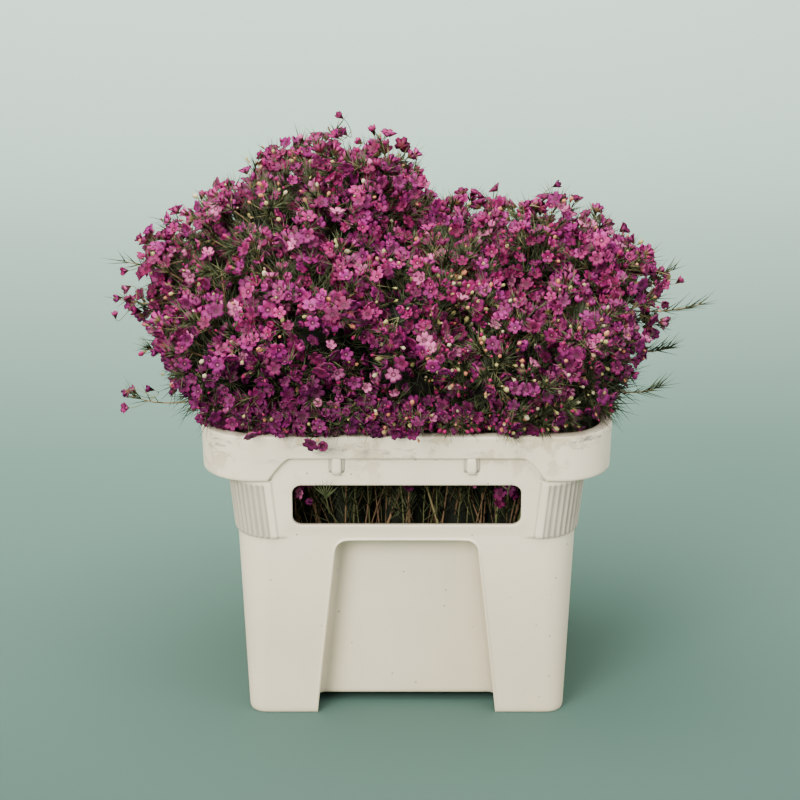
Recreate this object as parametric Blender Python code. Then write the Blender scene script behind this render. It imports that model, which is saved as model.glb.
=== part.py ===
"""A flower-market water bucket filled with cut waxflower stems.

The bucket is one moulded piece. Each stem is one grown piece: a woody stick that stands on the
bucket's floor, leans outwards above the rim and carries a head of florets, buds and needle leaves.
Units are metres, +Z is up, and the origin is under the middle of the bucket, on the ground.
"""

import math
import random

import bmesh
import bpy
from mathutils import Matrix, Vector

MM = 0.001

# Bucket: half sizes of its plan at each height, and what is cut into it
RIM_TOP = 303 * MM
RIM_SKIRT = 47.5 * MM
RIM_HALF = (200 * MM, 150 * MM)
RIM_RADIUS = 52 * MM
RIM_DRAFT = 1.5 * MM
LIP_WIDTH = 11 * MM
LIP_THICKNESS = 4 * MM
COLLAR_FOOT = 193 * MM
COLLAR_TOP_HALF = (173 * MM, 144 * MM)
COLLAR_FOOT_HALF = (167 * MM, 140.5 * MM)
COLLAR_RADIUS = 38 * MM
RIB_DEPTH = 1.4 * MM
BODY_TOP_HALF = (165.5 * MM, 139 * MM)
BODY_TOP_RADIUS = 34 * MM
BODY_FOOT_HALF = (157 * MM, 131 * MM)
BODY_FOOT_RADIUS = 18 * MM
WALL = 3 * MM
FOOT_WALL = 6 * MM
FLOOR_UNDERSIDE = 9 * MM
FLOOR_TOP = 13 * MM
CORNER_STEPS = 8

SLOT_HALF_WIDTH = 110.5 * MM
SLOT_LOW = 209.5 * MM
SLOT_HIGH = 249.5 * MM
SLOT_RADIUS = 9 * MM
NOTCH_TOP = 279.5 * MM
NOTCH_HALF_TOP = 117 * MM
NOTCH_HALF_FOOT = 137 * MM
ARCH_TOP = 190 * MM
ARCH_HALF_TOP = 70 * MM
ARCH_HALF_FOOT = 89 * MM
ARCH_RADIUS = 10 * MM
ARCH_DEPTH = 25 * MM
LUG_OFFSET = 64 * MM
LUG_SIZE = (9 * MM, 4 * MM, 20 * MM)

# Stems: x and y of each head in plan, height of its middle and its radius out to the petals
HEADS_MM = (
    (-187, -84, 361, 79),
    (-95, -88, 402, 82),
    (-1, -84, 396, 82),
    (92, -88, 355, 79),
    (184, -85, 358, 78),
    (-208, 4, 410, 70),
    (-133, -4, 458, 76),
    (-52, 4, 491, 81),
    (36, -4, 436, 77),
    (122, 4, 404, 74),
    (203, -3, 392, 70),
    (-184, 86, 378, 78),
    (-94, 84, 440, 81),
    (2, 88, 434, 80),
    (96, 84, 375, 79),
    (187, 86, 360, 78),
)
# Sprigs that stand out of the outline: head, tip and what the tip carries
SPRIGS_MM = (
    (5, (-294, -12, 398), "floret"),
    (5, (-280, -30, 441), "floret"),
    (0, (-272, -88, 322), "floret"),
    (10, (301, -6, 371), "needles"),
    (4, (270, -84, 344), "needles"),
    (9, (146, 2, 497), "floret"),
)
SPREAD_AT_FLOOR = 0.62
SPREAD_STARTS = 250 * MM
STICK_RADIUS = 4 * MM
STICK_SIDES = 5
STEM_SEAT = 0.4 * MM
CORE_INSET = 20 * MM
CORE_SIDE_INSET = 11 * MM
CELL_GAP = 0.5 * MM
RIM_CLEARANCE = 3 * MM
FLORET_RADIUS = 22 * MM
FLORET_SPACING = 37.5 * MM
FLORET_ROOT = 6 * MM
BUD_RADIUS = 2.6 * MM
BUDS_PER_HEAD = 1
NEEDLE_RADIUS = 0.9 * MM
NEEDLE_LENGTH = 26 * MM
NEEDLES_PER_HEAD = 4
NEEDLES_IN_BUCKET = 3
SPRIG_RADIUS = 1.5 * MM
SEED = 7

MATERIALS = {
    "bucket_plastic": ((0.80, 0.76, 0.66, 1), 0.45),
    "waxflower": ((0.55, 0.06, 0.30, 1), 0.55),
}


def clear_scene():
    for old in list(bpy.data.objects):
        bpy.data.objects.remove(old)


def material(name):
    """A Principled material with the part's colour and roughness."""
    made = bpy.data.materials.get(name) or bpy.data.materials.new(name)
    colour, roughness = MATERIALS[name]
    made.use_nodes = True
    shader = made.node_tree.nodes["Principled BSDF"]
    shader.inputs["Base Color"].default_value = colour
    shader.inputs["Roughness"].default_value = roughness
    shader.inputs["Metallic"].default_value = 0
    made.diffuse_color = colour
    return made


def new_object(name, mesh_data, collection=None):
    """An object in the scene from a bmesh, with its normals facing out."""
    bmesh.ops.recalc_face_normals(mesh_data, faces=mesh_data.faces)
    mesh = bpy.data.meshes.new(name)
    mesh_data.to_mesh(mesh)
    mesh_data.free()
    made = bpy.data.objects.new(name, mesh)
    (collection or bpy.context.scene.collection).objects.link(made)
    return made


def apply_boolean(target, other, operation, solver="EXACT"):
    """Joins or cuts target with an object or a collection, applies it and removes the other."""
    step = target.modifiers.new("shape", "BOOLEAN")
    step.operation = operation
    step.solver = solver
    if isinstance(other, bpy.types.Collection):
        step.operand_type = "COLLECTION"
        step.collection = other
    else:
        step.object = other
    with bpy.context.temp_override(object=target, active_object=target):
        bpy.ops.object.modifier_apply(modifier=step.name)
    spent = list(other.objects) if isinstance(other, bpy.types.Collection) else [other]
    for piece in spent:
        bpy.data.objects.remove(piece)
    if isinstance(other, bpy.types.Collection):
        bpy.data.collections.remove(other)


# The bucket


def outline(half, radius, z, rib_depth=0.0):
    """A rounded rectangle at height z. With a rib depth, every second corner point is sunk."""
    ring = []
    for corner, (side_x, side_y) in enumerate(((1, 1), (-1, 1), (-1, -1), (1, -1))):
        for step in range(CORNER_STEPS + 1):
            angle = math.radians(90 * (corner + step / CORNER_STEPS))
            reach = radius - (rib_depth if step % 2 else 0)
            ring.append(
                Vector((
                    side_x * (half[0] - radius) + reach * math.cos(angle),
                    side_y * (half[1] - radius) + reach * math.sin(angle),
                    z,
                ))
            )
    return ring


def loft(name, rings):
    """A closed solid through rings that have the same number of points."""
    shape = bmesh.new()
    rows = [[shape.verts.new(point) for point in ring] for ring in rings]
    for low, high in zip(rows, rows[1:]):
        for i in range(len(low)):
            j = (i + 1) % len(low)
            shape.faces.new((low[i], low[j], high[j], high[i]))
    shape.faces.new(rows[0])
    shape.faces.new(rows[-1])
    return new_object(name, shape)


def inset(half, amount):
    return (half[0] - amount, half[1] - amount)


def body_half(z):
    """Half sizes and corner radius of the lower body at height z, drafted from foot to collar."""
    share = z / COLLAR_FOOT
    half = [low + share * (high - low) for low, high in zip(BODY_FOOT_HALF, BODY_TOP_HALF)]
    return half, BODY_FOOT_RADIUS + share * (BODY_TOP_RADIUS - BODY_FOOT_RADIUS)


def rim_half(z):
    """Half sizes of the rim band at height z: it narrows a little downwards."""
    return inset(RIM_HALF, RIM_DRAFT * (RIM_TOP - z) / RIM_SKIRT)


def outer_solid():
    """Body, ribbed collar and rim band as one stepped solid."""
    rim_foot = RIM_TOP - RIM_SKIRT
    low_half, low_radius = body_half(0)
    top_half, top_radius = body_half(COLLAR_FOOT)
    return loft("bucket", [
        outline(low_half, low_radius, 0),
        outline(top_half, top_radius, COLLAR_FOOT),
        outline(COLLAR_FOOT_HALF, COLLAR_RADIUS, COLLAR_FOOT + 0.5 * MM, RIB_DEPTH),
        outline(COLLAR_TOP_HALF, COLLAR_RADIUS, rim_foot - 0.5 * MM, RIB_DEPTH),
        outline(rim_half(rim_foot), RIM_RADIUS, rim_foot),
        outline(RIM_HALF, RIM_RADIUS, RIM_TOP),
    ])


def inner_solid():
    """The hollow, from the floor up through the lip, one wall inside the outer solid."""
    rim_floor = RIM_TOP - RIM_SKIRT + WALL
    lip_foot = RIM_TOP - LIP_THICKNESS
    low_half, low_radius = body_half(FLOOR_TOP)
    top_half, top_radius = body_half(COLLAR_FOOT)
    lip_half = inset(RIM_HALF, LIP_WIDTH)
    lip_radius = RIM_RADIUS - LIP_WIDTH
    return loft("hollow", [
        outline(inset(low_half, WALL), low_radius - WALL, FLOOR_TOP),
        outline(inset(top_half, WALL), top_radius - WALL, COLLAR_FOOT),
        outline(inset(COLLAR_TOP_HALF, WALL + RIB_DEPTH), COLLAR_RADIUS - WALL, rim_floor - 1 * MM),
        outline(inset(rim_half(rim_floor), WALL), RIM_RADIUS - WALL, rim_floor),
        outline(inset(rim_half(lip_foot), WALL), RIM_RADIUS - WALL, lip_foot - 1 * MM),
        outline(lip_half, lip_radius, lip_foot),
        outline(lip_half, lip_radius, RIM_TOP + 2 * MM),
    ])


def rounded_panel(corners, radii, steps=5):
    """An outline in x and z with its corners rounded by arcs, as a list of 2-D points."""
    points = []
    count = len(corners)
    for i, (corner, radius) in enumerate(zip(corners, radii)):
        corner = Vector(corner)
        if radius == 0:
            points.append(corner)
            continue
        before = (Vector(corners[i - 1]) - corner).normalized()
        after = (Vector(corners[(i + 1) % count]) - corner).normalized()
        half_angle = before.angle(after) / 2
        middle = corner + (before + after).normalized() * (radius / math.sin(half_angle))
        start = corner + before * (radius / math.tan(half_angle)) - middle
        end = corner + after * (radius / math.tan(half_angle)) - middle
        turn = start.angle_signed(end)
        for step in range(steps + 1):
            points.append(middle + Matrix.Rotation(-turn * step / steps, 2) @ start)
    return points


def prism(name, panel, y_low, y_high, lean=0.0):
    """The panel outline pushed through y. The y_high end follows a wall that leans by lean per height."""
    shape = bmesh.new()
    near = [shape.verts.new((p.x, y_low, p.y)) for p in panel]
    far = [shape.verts.new((p.x, y_high - lean * p.y, p.y)) for p in panel]
    for i in range(len(near)):
        j = (i + 1) % len(near)
        shape.faces.new((near[i], near[j], far[j], far[i]))
    shape.faces.new(near)
    shape.faces.new(far)
    return new_object(name, shape)


def arch_panel(grow):
    """The flared opening between the two feet, grown by a wall where the hollow must clear it."""
    below = -2 * MM if grow == 0 else FLOOR_UNDERSIDE - 4 * MM
    slope = (ARCH_HALF_FOOT - ARCH_HALF_TOP) / ARCH_TOP
    foot = ARCH_HALF_FOOT - slope * below + grow
    top = ARCH_HALF_TOP + grow
    return rounded_panel(
        [(-foot, below), (-top, ARCH_TOP + grow), (top, ARCH_TOP + grow), (foot, below)],
        [0, ARCH_RADIUS + grow, ARCH_RADIUS + grow, 0],
    )


def notch_panel():
    """The raised middle of the rim's lower edge, chamfered down to the collar at both ends."""
    below = RIM_TOP - RIM_SKIRT - 3 * MM
    return rounded_panel(
        [(-NOTCH_HALF_FOOT, below), (-NOTCH_HALF_TOP, NOTCH_TOP), (NOTCH_HALF_TOP, NOTCH_TOP),
         (NOTCH_HALF_FOOT, below)],
        [0, 9 * MM, 9 * MM, 0],
        steps=3,
    )


def slot_panel():
    """The hand slot's outline."""
    width, radius = SLOT_HALF_WIDTH, SLOT_RADIUS
    return rounded_panel(
        [(-width, SLOT_LOW), (-width, SLOT_HIGH), (width, SLOT_HIGH), (width, SLOT_LOW)],
        [radius] * 4,
    )


def turned(piece):
    """A copy of the piece on the bucket's other long side."""
    twin = bpy.data.objects.new(piece.name + "_back", piece.data.copy())
    bpy.context.scene.collection.objects.link(twin)
    twin.data.transform(Matrix.Rotation(math.pi, 4, "Z"))
    return twin


def make_bucket():
    """Outer solid less arches and notches, hollowed, with hand slots and lugs on both long sides."""
    bucket = outer_solid()
    hollow = inner_solid()
    lean = (BODY_TOP_HALF[1] - BODY_FOOT_HALF[1]) / COLLAR_FOOT
    arch_back = -BODY_FOOT_HALF[1] + ARCH_DEPTH
    outside = -RIM_HALF[1] - 20 * MM
    arch = prism("arch", arch_panel(0), outside, arch_back, lean)
    arch_wall = prism("arch_wall", arch_panel(WALL), outside, arch_back + WALL, lean)
    notch = prism("notch", notch_panel(), outside, -COLLAR_TOP_HALF[1])
    slot = prism("slot", slot_panel(), outside, -COLLAR_FOOT_HALF[1] + 30 * MM)
    for cutter in (arch, notch):
        apply_boolean(bucket, turned(cutter), "DIFFERENCE")
        apply_boolean(bucket, cutter, "DIFFERENCE")
    apply_boolean(hollow, turned(arch_wall), "DIFFERENCE")
    apply_boolean(hollow, arch_wall, "DIFFERENCE")
    notch_wall = prism(
        "notch_wall",
        [point + Vector((0, 2 * MM)) for point in notch_panel()],
        outside,
        -COLLAR_TOP_HALF[1] + WALL,
    )
    apply_boolean(hollow, turned(notch_wall), "DIFFERENCE")
    apply_boolean(hollow, notch_wall, "DIFFERENCE")
    apply_boolean(bucket, hollow, "DIFFERENCE")
    apply_boolean(bucket, turned(slot), "DIFFERENCE")
    apply_boolean(bucket, slot, "DIFFERENCE")
    foot_half, foot_radius = body_half(0)
    under = loft("under", [
        outline(inset(foot_half, FOOT_WALL), foot_radius - FOOT_WALL, -2 * MM),
        outline(inset(foot_half, FOOT_WALL), foot_radius - FOOT_WALL, FLOOR_UNDERSIDE),
    ])
    apply_boolean(bucket, under, "DIFFERENCE")
    for side in (-1, 1):
        for end in (-1, 1):
            apply_boolean(bucket, lug(side, end), "UNION")
    bucket.data.materials.append(material("bucket_plastic"))
    return bucket


def lug(side, end):
    """One of the short upright bars under the rim, over the hand slot."""
    width, depth, height = LUG_SIZE
    shape = bmesh.new()
    bmesh.ops.create_cube(shape, size=1)
    top = NOTCH_TOP + 2 * MM
    middle = (end * LUG_OFFSET, side * (COLLAR_TOP_HALF[1] + 0.5 * MM), top - height / 2)
    bmesh.ops.transform(
        shape, matrix=Matrix.Translation(middle) @ Matrix.Diagonal((width, depth, height, 1)),
        verts=shape.verts,
    )
    return new_object("lug", shape)


# The stems


def heads():
    """Each head as its middle and its radius, in metres."""
    return [(Vector((x, y, z)) * MM, radius * MM) for x, y, z, radius in HEADS_MM]


def half_height(middle, radius, upwards):
    """A head is a ball above its middle and is drawn down to the rim below it."""
    return radius if upwards else middle.z - RIM_TOP - RIM_CLEARANCE


def head_point(middle, radius, direction, inset):
    """The point in that direction on the head's surface, moved in by the inset."""
    height = half_height(middle, radius, direction.z > 0)
    return middle + Vector((
        direction.x * (radius - inset),
        direction.y * (radius - inset),
        direction.z * (height - inset),
    ))


def cell_planes(index):
    """The upright planes halfway to every other head, and the level one over the rim."""
    middle = heads()[index][0]
    planes = [(Vector((0, 0, RIM_TOP + RIM_CLEARANCE)), Vector((0, 0, -1)))]
    for other, (other_middle, _) in enumerate(heads()):
        if other == index:
            continue
        away = Vector((other_middle.x - middle.x, other_middle.y - middle.y, 0))
        halfway = Vector((middle.x, middle.y, 0)) + away / 2
        planes.append((halfway, away.normalized()))
    return planes


def fits(planes, points):
    """True if every point keeps the gap to the cell's planes."""
    return all((halfway - p).dot(away) > CELL_GAP for halfway, away in planes for p in points)


def nudge(planes, points):
    """The shift that brings the points back inside the planes that they cross."""
    shift = Vector((0, 0, 0))
    for halfway, away in planes:
        past = max((point + shift - halfway).dot(away) for point in points) + 2 * CELL_GAP
        if past > 0:
            shift -= away * past
    return shift


def sunk(index, planes, root):
    """The root, moved towards the head's middle until it lies well inside the core."""
    middle, radius = heads()[index]
    while True:
        reach = root - middle
        flat = radius - CORE_INSET
        height = half_height(middle, radius, reach.z > 0) - CORE_INSET
        depth = (reach.x / flat) ** 2 + (reach.y / flat) ** 2 + (reach.z / height) ** 2
        room = min((halfway - root).dot(away) for halfway, away in planes)
        if depth < 0.72 and room > CORE_SIDE_INSET + 3 * MM:
            return root
        root = root.lerp(middle, 0.08)


def buried(index, point):
    """True if the point lies inside one of the other heads, where nothing would be seen."""
    for other, (middle, radius) in enumerate(heads()):
        reach = point - middle
        height = half_height(middle, radius, reach.z > 0)
        depth = (reach.x / radius) ** 2 + (reach.y / radius) ** 2 + (reach.z / height) ** 2
        if other != index and depth < 1.05:
            return True
    return False


def spread(z, head_z):
    """How far out a stick has leaned at height z, from its place on the floor to its head."""
    share = min(1, max(0, (z - SPREAD_STARTS) / (head_z - SPREAD_STARTS)))
    return SPREAD_AT_FLOOR + (1 - SPREAD_AT_FLOOR) * share * share * (3 - 2 * share)


def stick_centres(middle):
    """The stick's bending line, from just over the floor up to the head's middle."""
    rim = RIM_TOP - LIP_THICKNESS
    heights = (FLOOR_TOP + STEM_SEAT, SPREAD_STARTS, rim, (rim + middle.z) / 2, middle.z)
    return [
        Vector((middle.x * spread(z, middle.z), middle.y * spread(z, middle.z), z)) for z in heights
    ]


def stick_point(middle, z):
    """The point at height z on the straight pieces between the stick's rings."""
    centres = stick_centres(middle)
    for low, high in zip(centres, centres[1:]):
        if z <= high.z:
            return low.lerp(high, (z - low.z) / (high.z - low.z))
    return centres[-1]


def across(direction):
    """Two unit vectors square to the direction."""
    side = direction.orthogonal().normalized()
    return side, direction.cross(side).normalized()


def tube(shape, centres, radii, sides):
    """A closed tube through the centres, square-ended. Returns its first ring."""
    rows = []
    for i, (centre, radius) in enumerate(zip(centres, radii)):
        ahead = centres[min(i + 1, len(centres) - 1)] - centres[max(i - 1, 0)]
        side, up = across(ahead.normalized()) if i == 0 else (side, ahead.normalized().cross(side))
        rows.append([
            shape.verts.new(centre + radius * (math.cos(a) * side + math.sin(a) * up.normalized()))
            for a in (2 * math.pi * k / sides for k in range(sides))
        ])
    for low, high in zip(rows, rows[1:]):
        for i in range(sides):
            j = (i + 1) % sides
            shape.faces.new((low[i], low[j], high[j], high[i]))
    shape.faces.new(rows[0])
    shape.faces.new(rows[-1])
    return rows[0]


def make_stick(middle, collection):
    """The woody stick, from just over the floor into the head's middle."""
    centres = stick_centres(middle)
    radii = [STICK_RADIUS * share for share in (1, 0.9, 0.85, 0.75, 0.65)]
    shape = bmesh.new()
    cut_end = tube(shape, centres, radii, STICK_SIDES)
    for vertex in cut_end:
        vertex.co.z = centres[0].z
    new_object("stick", shape, collection)


def make_core(name, middle, radius, planes):
    """The dense twiggy middle of a head, cut flat where the next heads press on it."""
    shape = bmesh.new()
    bmesh.ops.create_icosphere(shape, subdivisions=2, radius=1)
    for vertex in shape.verts:
        vertex.co = head_point(middle, radius, vertex.co.normalized(), CORE_INSET)
    for halfway, away in planes:
        inset = CORE_SIDE_INSET if away.z == 0 else CELL_GAP
        cut = bmesh.ops.bisect_plane(
            shape,
            geom=shape.verts[:] + shape.edges[:] + shape.faces[:],
            plane_co=halfway - away * inset,
            plane_no=away,
            clear_outer=True,
        )
        edges = [item for item in cut["geom_cut"] if isinstance(item, bmesh.types.BMEdge)]
        if edges:
            bmesh.ops.holes_fill(shape, edges=edges)
    return new_object(name, shape)


def floret_points(centre, normal, spin, radius):
    """The petals' edge: five lobes with a notch between each two."""
    side, up = across(normal)
    edge = []
    for petal in range(5):
        for offset, reach, lift in ((-36, 0.62, -0.1), (0, 1.0, 0.12)):
            angle = math.radians(72 * petal + offset) + spin
            edge.append(
                centre
                + radius * reach * (math.cos(angle) * side + math.sin(angle) * up)
                + radius * lift * normal
            )
    return edge


def make_floret(centre, normal, root, spin, radius, collection):
    """A cupped star of five petals on a tapering tube that is rooted at root."""
    shape = bmesh.new()
    edge = [shape.verts.new(p) for p in floret_points(centre, normal, spin, radius)]
    cup = shape.verts.new(centre - normal * 0.2 * radius)
    base = shape.verts.new(root)
    for i in range(len(edge)):
        shape.faces.new((edge[i], edge[(i + 1) % len(edge)], cup))
    for i in range(0, len(edge), 2):
        j = (i + 2) % len(edge)
        shape.faces.new((edge[j], edge[i + 1], edge[i]))
        shape.faces.new((edge[j], edge[i], base))
    new_object("floret", shape, collection)


def make_spindle(root, tip, radius, widest, sides, collection):
    """A shape pointed at both ends and widest part of the way along: a needle leaf or a bud."""
    along = tip - root
    side, up = across(along.normalized())
    shape = bmesh.new()
    ring = [
        shape.verts.new(root + along * widest + radius * (math.cos(a) * side + math.sin(a) * up))
        for a in (2 * math.pi * k / sides for k in range(sides))
    ]
    ends = (shape.verts.new(root), shape.verts.new(tip))
    for i in range(sides):
        j = (i + 1) % sides
        shape.faces.new((ring[i], ring[j], ends[1]))
        shape.faces.new((ring[j], ring[i], ends[0]))
    new_object("spindle", shape, collection)


def golden_directions(count, turn):
    """Directions spread evenly over a ball."""
    for i in range(count):
        height = 1 - 2 * (i + 0.5) / count
        angle = turn + i * math.pi * (3 - math.sqrt(5))
        flat = math.sqrt(1 - height * height)
        yield Vector((flat * math.cos(angle), flat * math.sin(angle), height))


def skin_point(middle, radius, planes, direction):
    """Where a ray from the head's middle leaves the head, cut sides included, and which way is out."""
    point = head_point(middle, radius, direction, 4 * MM)
    outward = direction
    for halfway, away in planes:
        past = (point - middle).dot(away) - (halfway - middle).dot(away)
        if away.z == 0 and past > 0:
            point = middle + (point - middle) * (1 - past / (point - middle).dot(away))
            outward = away
    return point, outward


def add_florets(index, planes, draw, collection):
    """Florets over every side of the head that shows, spread evenly."""
    middle, radius = heads()[index]
    placed = []
    for ray in golden_directions(500, draw.uniform(0, 6.28)):
        centre, direction = skin_point(middle, radius, planes, ray)
        spin = draw.uniform(0, 1.2)
        centre += nudge(planes, floret_points(centre, direction, spin, FLORET_RADIUS))
        if any((centre - other).length < FLORET_SPACING for other in placed):
            continue
        if buried(index, centre + direction * 12 * MM):
            continue
        if not fits(planes, floret_points(centre, direction, spin, FLORET_RADIUS)):
            continue
        root = sunk(index, planes, centre - direction * (CORE_INSET + FLORET_ROOT))
        make_floret(centre, direction, root, spin, FLORET_RADIUS, collection)
        placed.append(centre)
    return placed


def add_between(index, planes, draw, placed, collection):
    """Buds and needles in the spaces between the florets."""
    middle, radius = heads()[index]
    wanted = {"bud": BUDS_PER_HEAD, "needle": NEEDLES_PER_HEAD}
    for direction in golden_directions(200, draw.uniform(0, 6.28)):
        kind = "bud" if wanted["bud"] and draw.random() < 0.3 else "needle"
        if not wanted[kind]:
            continue
        lean = (direction + Vector((0, 0, draw.uniform(0, 0.5)))).normalized()
        root = head_point(middle, radius, direction, CORE_INSET + 5 * MM)
        tip = root + lean * (NEEDLE_LENGTH + 5 * MM if kind == "needle" else 27 * MM)
        root = sunk(index, planes, root)
        near = min(((tip - other).length for other in placed), default=1)
        if near < (0.5 if kind == "needle" else 0.8) * FLORET_RADIUS:
            continue
        if buried(index, tip):
            continue
        if not fits(planes, [tip + Vector((x, y, -1)) * 3 * MM for x in (-1, 1) for y in (-1, 1)]):
            continue
        if kind == "bud":
            make_spindle(root, tip, BUD_RADIUS, 0.88, 5, collection)
        else:
            make_spindle(root, tip, NEEDLE_RADIUS, 0.5, 3, collection)
        wanted[kind] -= 1


def add_needles_in_bucket(middle, draw, collection):
    """Needle leaves on the stick where it shows through the hand slots."""
    for i in range(NEEDLES_IN_BUCKET):
        z = SLOT_LOW - 22 * MM + i * 11 * MM
        root = stick_point(middle, z)
        angle = i * 2.4 + draw.uniform(-0.3, 0.3)
        reach = Vector((math.cos(angle), math.sin(angle), 1.3)).normalized()
        make_spindle(root, root + reach * NEEDLE_LENGTH, NEEDLE_RADIUS, 0.5, 3, collection)


def add_sprig(middle, tip, kind, collection):
    """A thin twig that reaches out of the outline, with one floret or a fan of needles on it."""
    along = tip - middle
    length = along.length
    bend = middle + along * 0.55 + Vector((0, 0, 0.04 * length))
    end = tip - along.normalized() * 10 * MM
    shape = bmesh.new()
    radii = (SPRIG_RADIUS * 1.3, SPRIG_RADIUS, SPRIG_RADIUS * 0.8)
    tube(shape, [middle + along * 0.2, bend, end], radii, 4)
    new_object("twig", shape, collection)
    forward = (end - bend).normalized()
    if kind == "floret":
        centre = tip - forward * 4 * MM
        make_floret(centre, forward, end - forward * 6 * MM, 0.3, 0.62 * FLORET_RADIUS, collection)
        return
    side, up = across(forward)
    for i in range(6):
        angle = i * 2.1
        fan = forward + 0.55 * (math.cos(angle) * side + math.sin(angle) * up)
        root = bend.lerp(end, 0.45 + 0.1 * i)
        needle_tip = root + fan.normalized() * (tip - root).length
        make_spindle(root, needle_tip, NEEDLE_RADIUS, 0.5, 3, collection)


def make_stem(index):
    """One waxflower stem, its pieces joined into one solid."""
    draw = random.Random(SEED + index)
    middle, radius = heads()[index]
    planes = cell_planes(index)
    name = f"stem_{index + 1:02d}"
    stem = make_core(name, middle, radius, planes)
    growth = bpy.data.collections.new("growth")
    bpy.context.scene.collection.children.link(growth)
    make_stick(middle, growth)
    placed = add_florets(index, planes, draw, growth)
    add_between(index, planes, draw, placed, growth)
    add_needles_in_bucket(middle, draw, growth)
    for head, tip, kind in SPRIGS_MM:
        if head == index:
            add_sprig(middle, Vector(tip) * MM, kind, growth)
    apply_boolean(stem, growth, "UNION", "MANIFOLD")
    stem.data.materials.append(material("waxflower"))
    return stem


def main():
    clear_scene()
    make_bucket()
    for index in range(len(HEADS_MM)):
        make_stem(index)


main()
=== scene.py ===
import bpy
import math
import numpy as np
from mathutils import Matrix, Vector


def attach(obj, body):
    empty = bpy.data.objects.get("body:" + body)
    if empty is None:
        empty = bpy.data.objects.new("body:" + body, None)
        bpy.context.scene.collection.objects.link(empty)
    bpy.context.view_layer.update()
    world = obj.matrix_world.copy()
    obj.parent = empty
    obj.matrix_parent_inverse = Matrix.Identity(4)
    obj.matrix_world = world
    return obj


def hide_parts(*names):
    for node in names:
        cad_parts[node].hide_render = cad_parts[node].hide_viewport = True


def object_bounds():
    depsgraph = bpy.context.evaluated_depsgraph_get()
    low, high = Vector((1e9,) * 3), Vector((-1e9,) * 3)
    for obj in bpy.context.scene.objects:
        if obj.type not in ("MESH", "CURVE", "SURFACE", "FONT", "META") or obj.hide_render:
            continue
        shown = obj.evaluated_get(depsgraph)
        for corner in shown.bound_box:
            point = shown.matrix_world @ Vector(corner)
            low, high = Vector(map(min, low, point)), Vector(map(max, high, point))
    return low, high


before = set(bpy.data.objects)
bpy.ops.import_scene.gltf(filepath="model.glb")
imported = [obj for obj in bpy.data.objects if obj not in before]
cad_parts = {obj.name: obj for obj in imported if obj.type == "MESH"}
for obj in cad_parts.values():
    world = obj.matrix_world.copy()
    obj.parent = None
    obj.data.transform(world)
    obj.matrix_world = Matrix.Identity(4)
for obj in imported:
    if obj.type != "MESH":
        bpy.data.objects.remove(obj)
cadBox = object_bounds()
print("frame loaded:", len(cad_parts), "nodes")

mm = 0.001
goldenTurn, thirdTurn = 2.39996, 2.0944


def addMesh(name, points, faces, material, smooth=True, attributes=None, uv=None):
    # points (n, 3) and faces (m, 3 or 4) go into one mesh object that sits at the origin
    mesh = bpy.data.meshes.new(name)
    faces = np.asarray(faces, dtype=np.int32)
    corners = faces.shape[1]
    mesh.vertices.add(len(points))
    mesh.vertices.foreach_set("co", np.asarray(points, dtype=np.float32).ravel())
    mesh.loops.add(faces.size)
    mesh.loops.foreach_set("vertex_index", faces.ravel())
    mesh.polygons.add(len(faces))
    mesh.polygons.foreach_set("loop_start", np.arange(0, faces.size, corners, dtype=np.int32))
    mesh.polygons.foreach_set("use_smooth", np.full(len(faces), smooth))
    for key, values in (attributes or {}).items():
        mesh.attributes.new(key, "FLOAT", "POINT").data.foreach_set("value",
            np.asarray(values, dtype=np.float32))
    if uv is not None:
        layer = mesh.uv_layers.new(name="polar")
        layer.data.foreach_set("uv", np.asarray(uv, dtype=np.float32)[faces.ravel()].ravel())
    mesh.update(calc_edges=True)
    mesh.validate()
    mesh.materials.append(material)
    piece = bpy.data.objects.new(name, mesh)
    bpy.context.scene.collection.objects.link(piece)
    return piece


def gridFaces(rows, columns, wrap):
    # quads of a rows x columns grid of points, closed round the columns if wrap
    r, c = np.meshgrid(np.arange(rows - 1), np.arange(columns if wrap else columns - 1), indexing="ij")
    right = (c + 1) % columns
    corners = (r * columns + c, (r + 1) * columns + c, (r + 1) * columns + right, r * columns + right)
    return np.stack(corners, axis=-1).reshape(-1, 4)


def closedGrid(rings, around):
    # triangles of rings closed round their columns, and of fans to the two end points listed after them
    quads = gridFaces(rings, around, True)
    k = np.arange(around)
    after = (k + 1) % around
    last, ends = (rings - 1) * around, rings * around
    top = np.column_stack((np.full(around, ends), k, after))
    bottom = np.column_stack((np.full(around, ends + 1), last + after, last + k))
    return np.vstack((quads[:, [0, 1, 2]], quads[:, [0, 2, 3]], top, bottom))


def smoothStep(low, high, value):
    t = np.clip((value - low) / (high - low), 0, 1)
    return t * t * (3 - 2 * t)


class Wire:
    # one output socket: +, * and a number minus it add Math nodes
    def __init__(self, shader, socket):
        self.shader, self.socket = shader, socket

    def math(self, operation, *values):
        return self.shader.node("Math", {"operation": operation}, dict(enumerate(values)))

    def __add__(self, other):
        return self.math("ADD", self, other)

    def __radd__(self, other):
        return self.math("ADD", other, self)

    def __rsub__(self, other):
        return self.math("SUBTRACT", other, self)

    def __mul__(self, other):
        return self.math("MULTIPLY", self, other)

    def __rmul__(self, other):
        return self.math("MULTIPLY", other, self)

    def between(self, low, high):
        # 0 below low, 1 above high and smooth in between
        values = {"Value": self, "From Min": low, "From Max": high}
        return self.shader.node("MapRange", {"interpolation_type": "SMOOTHSTEP"}, values)


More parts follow.
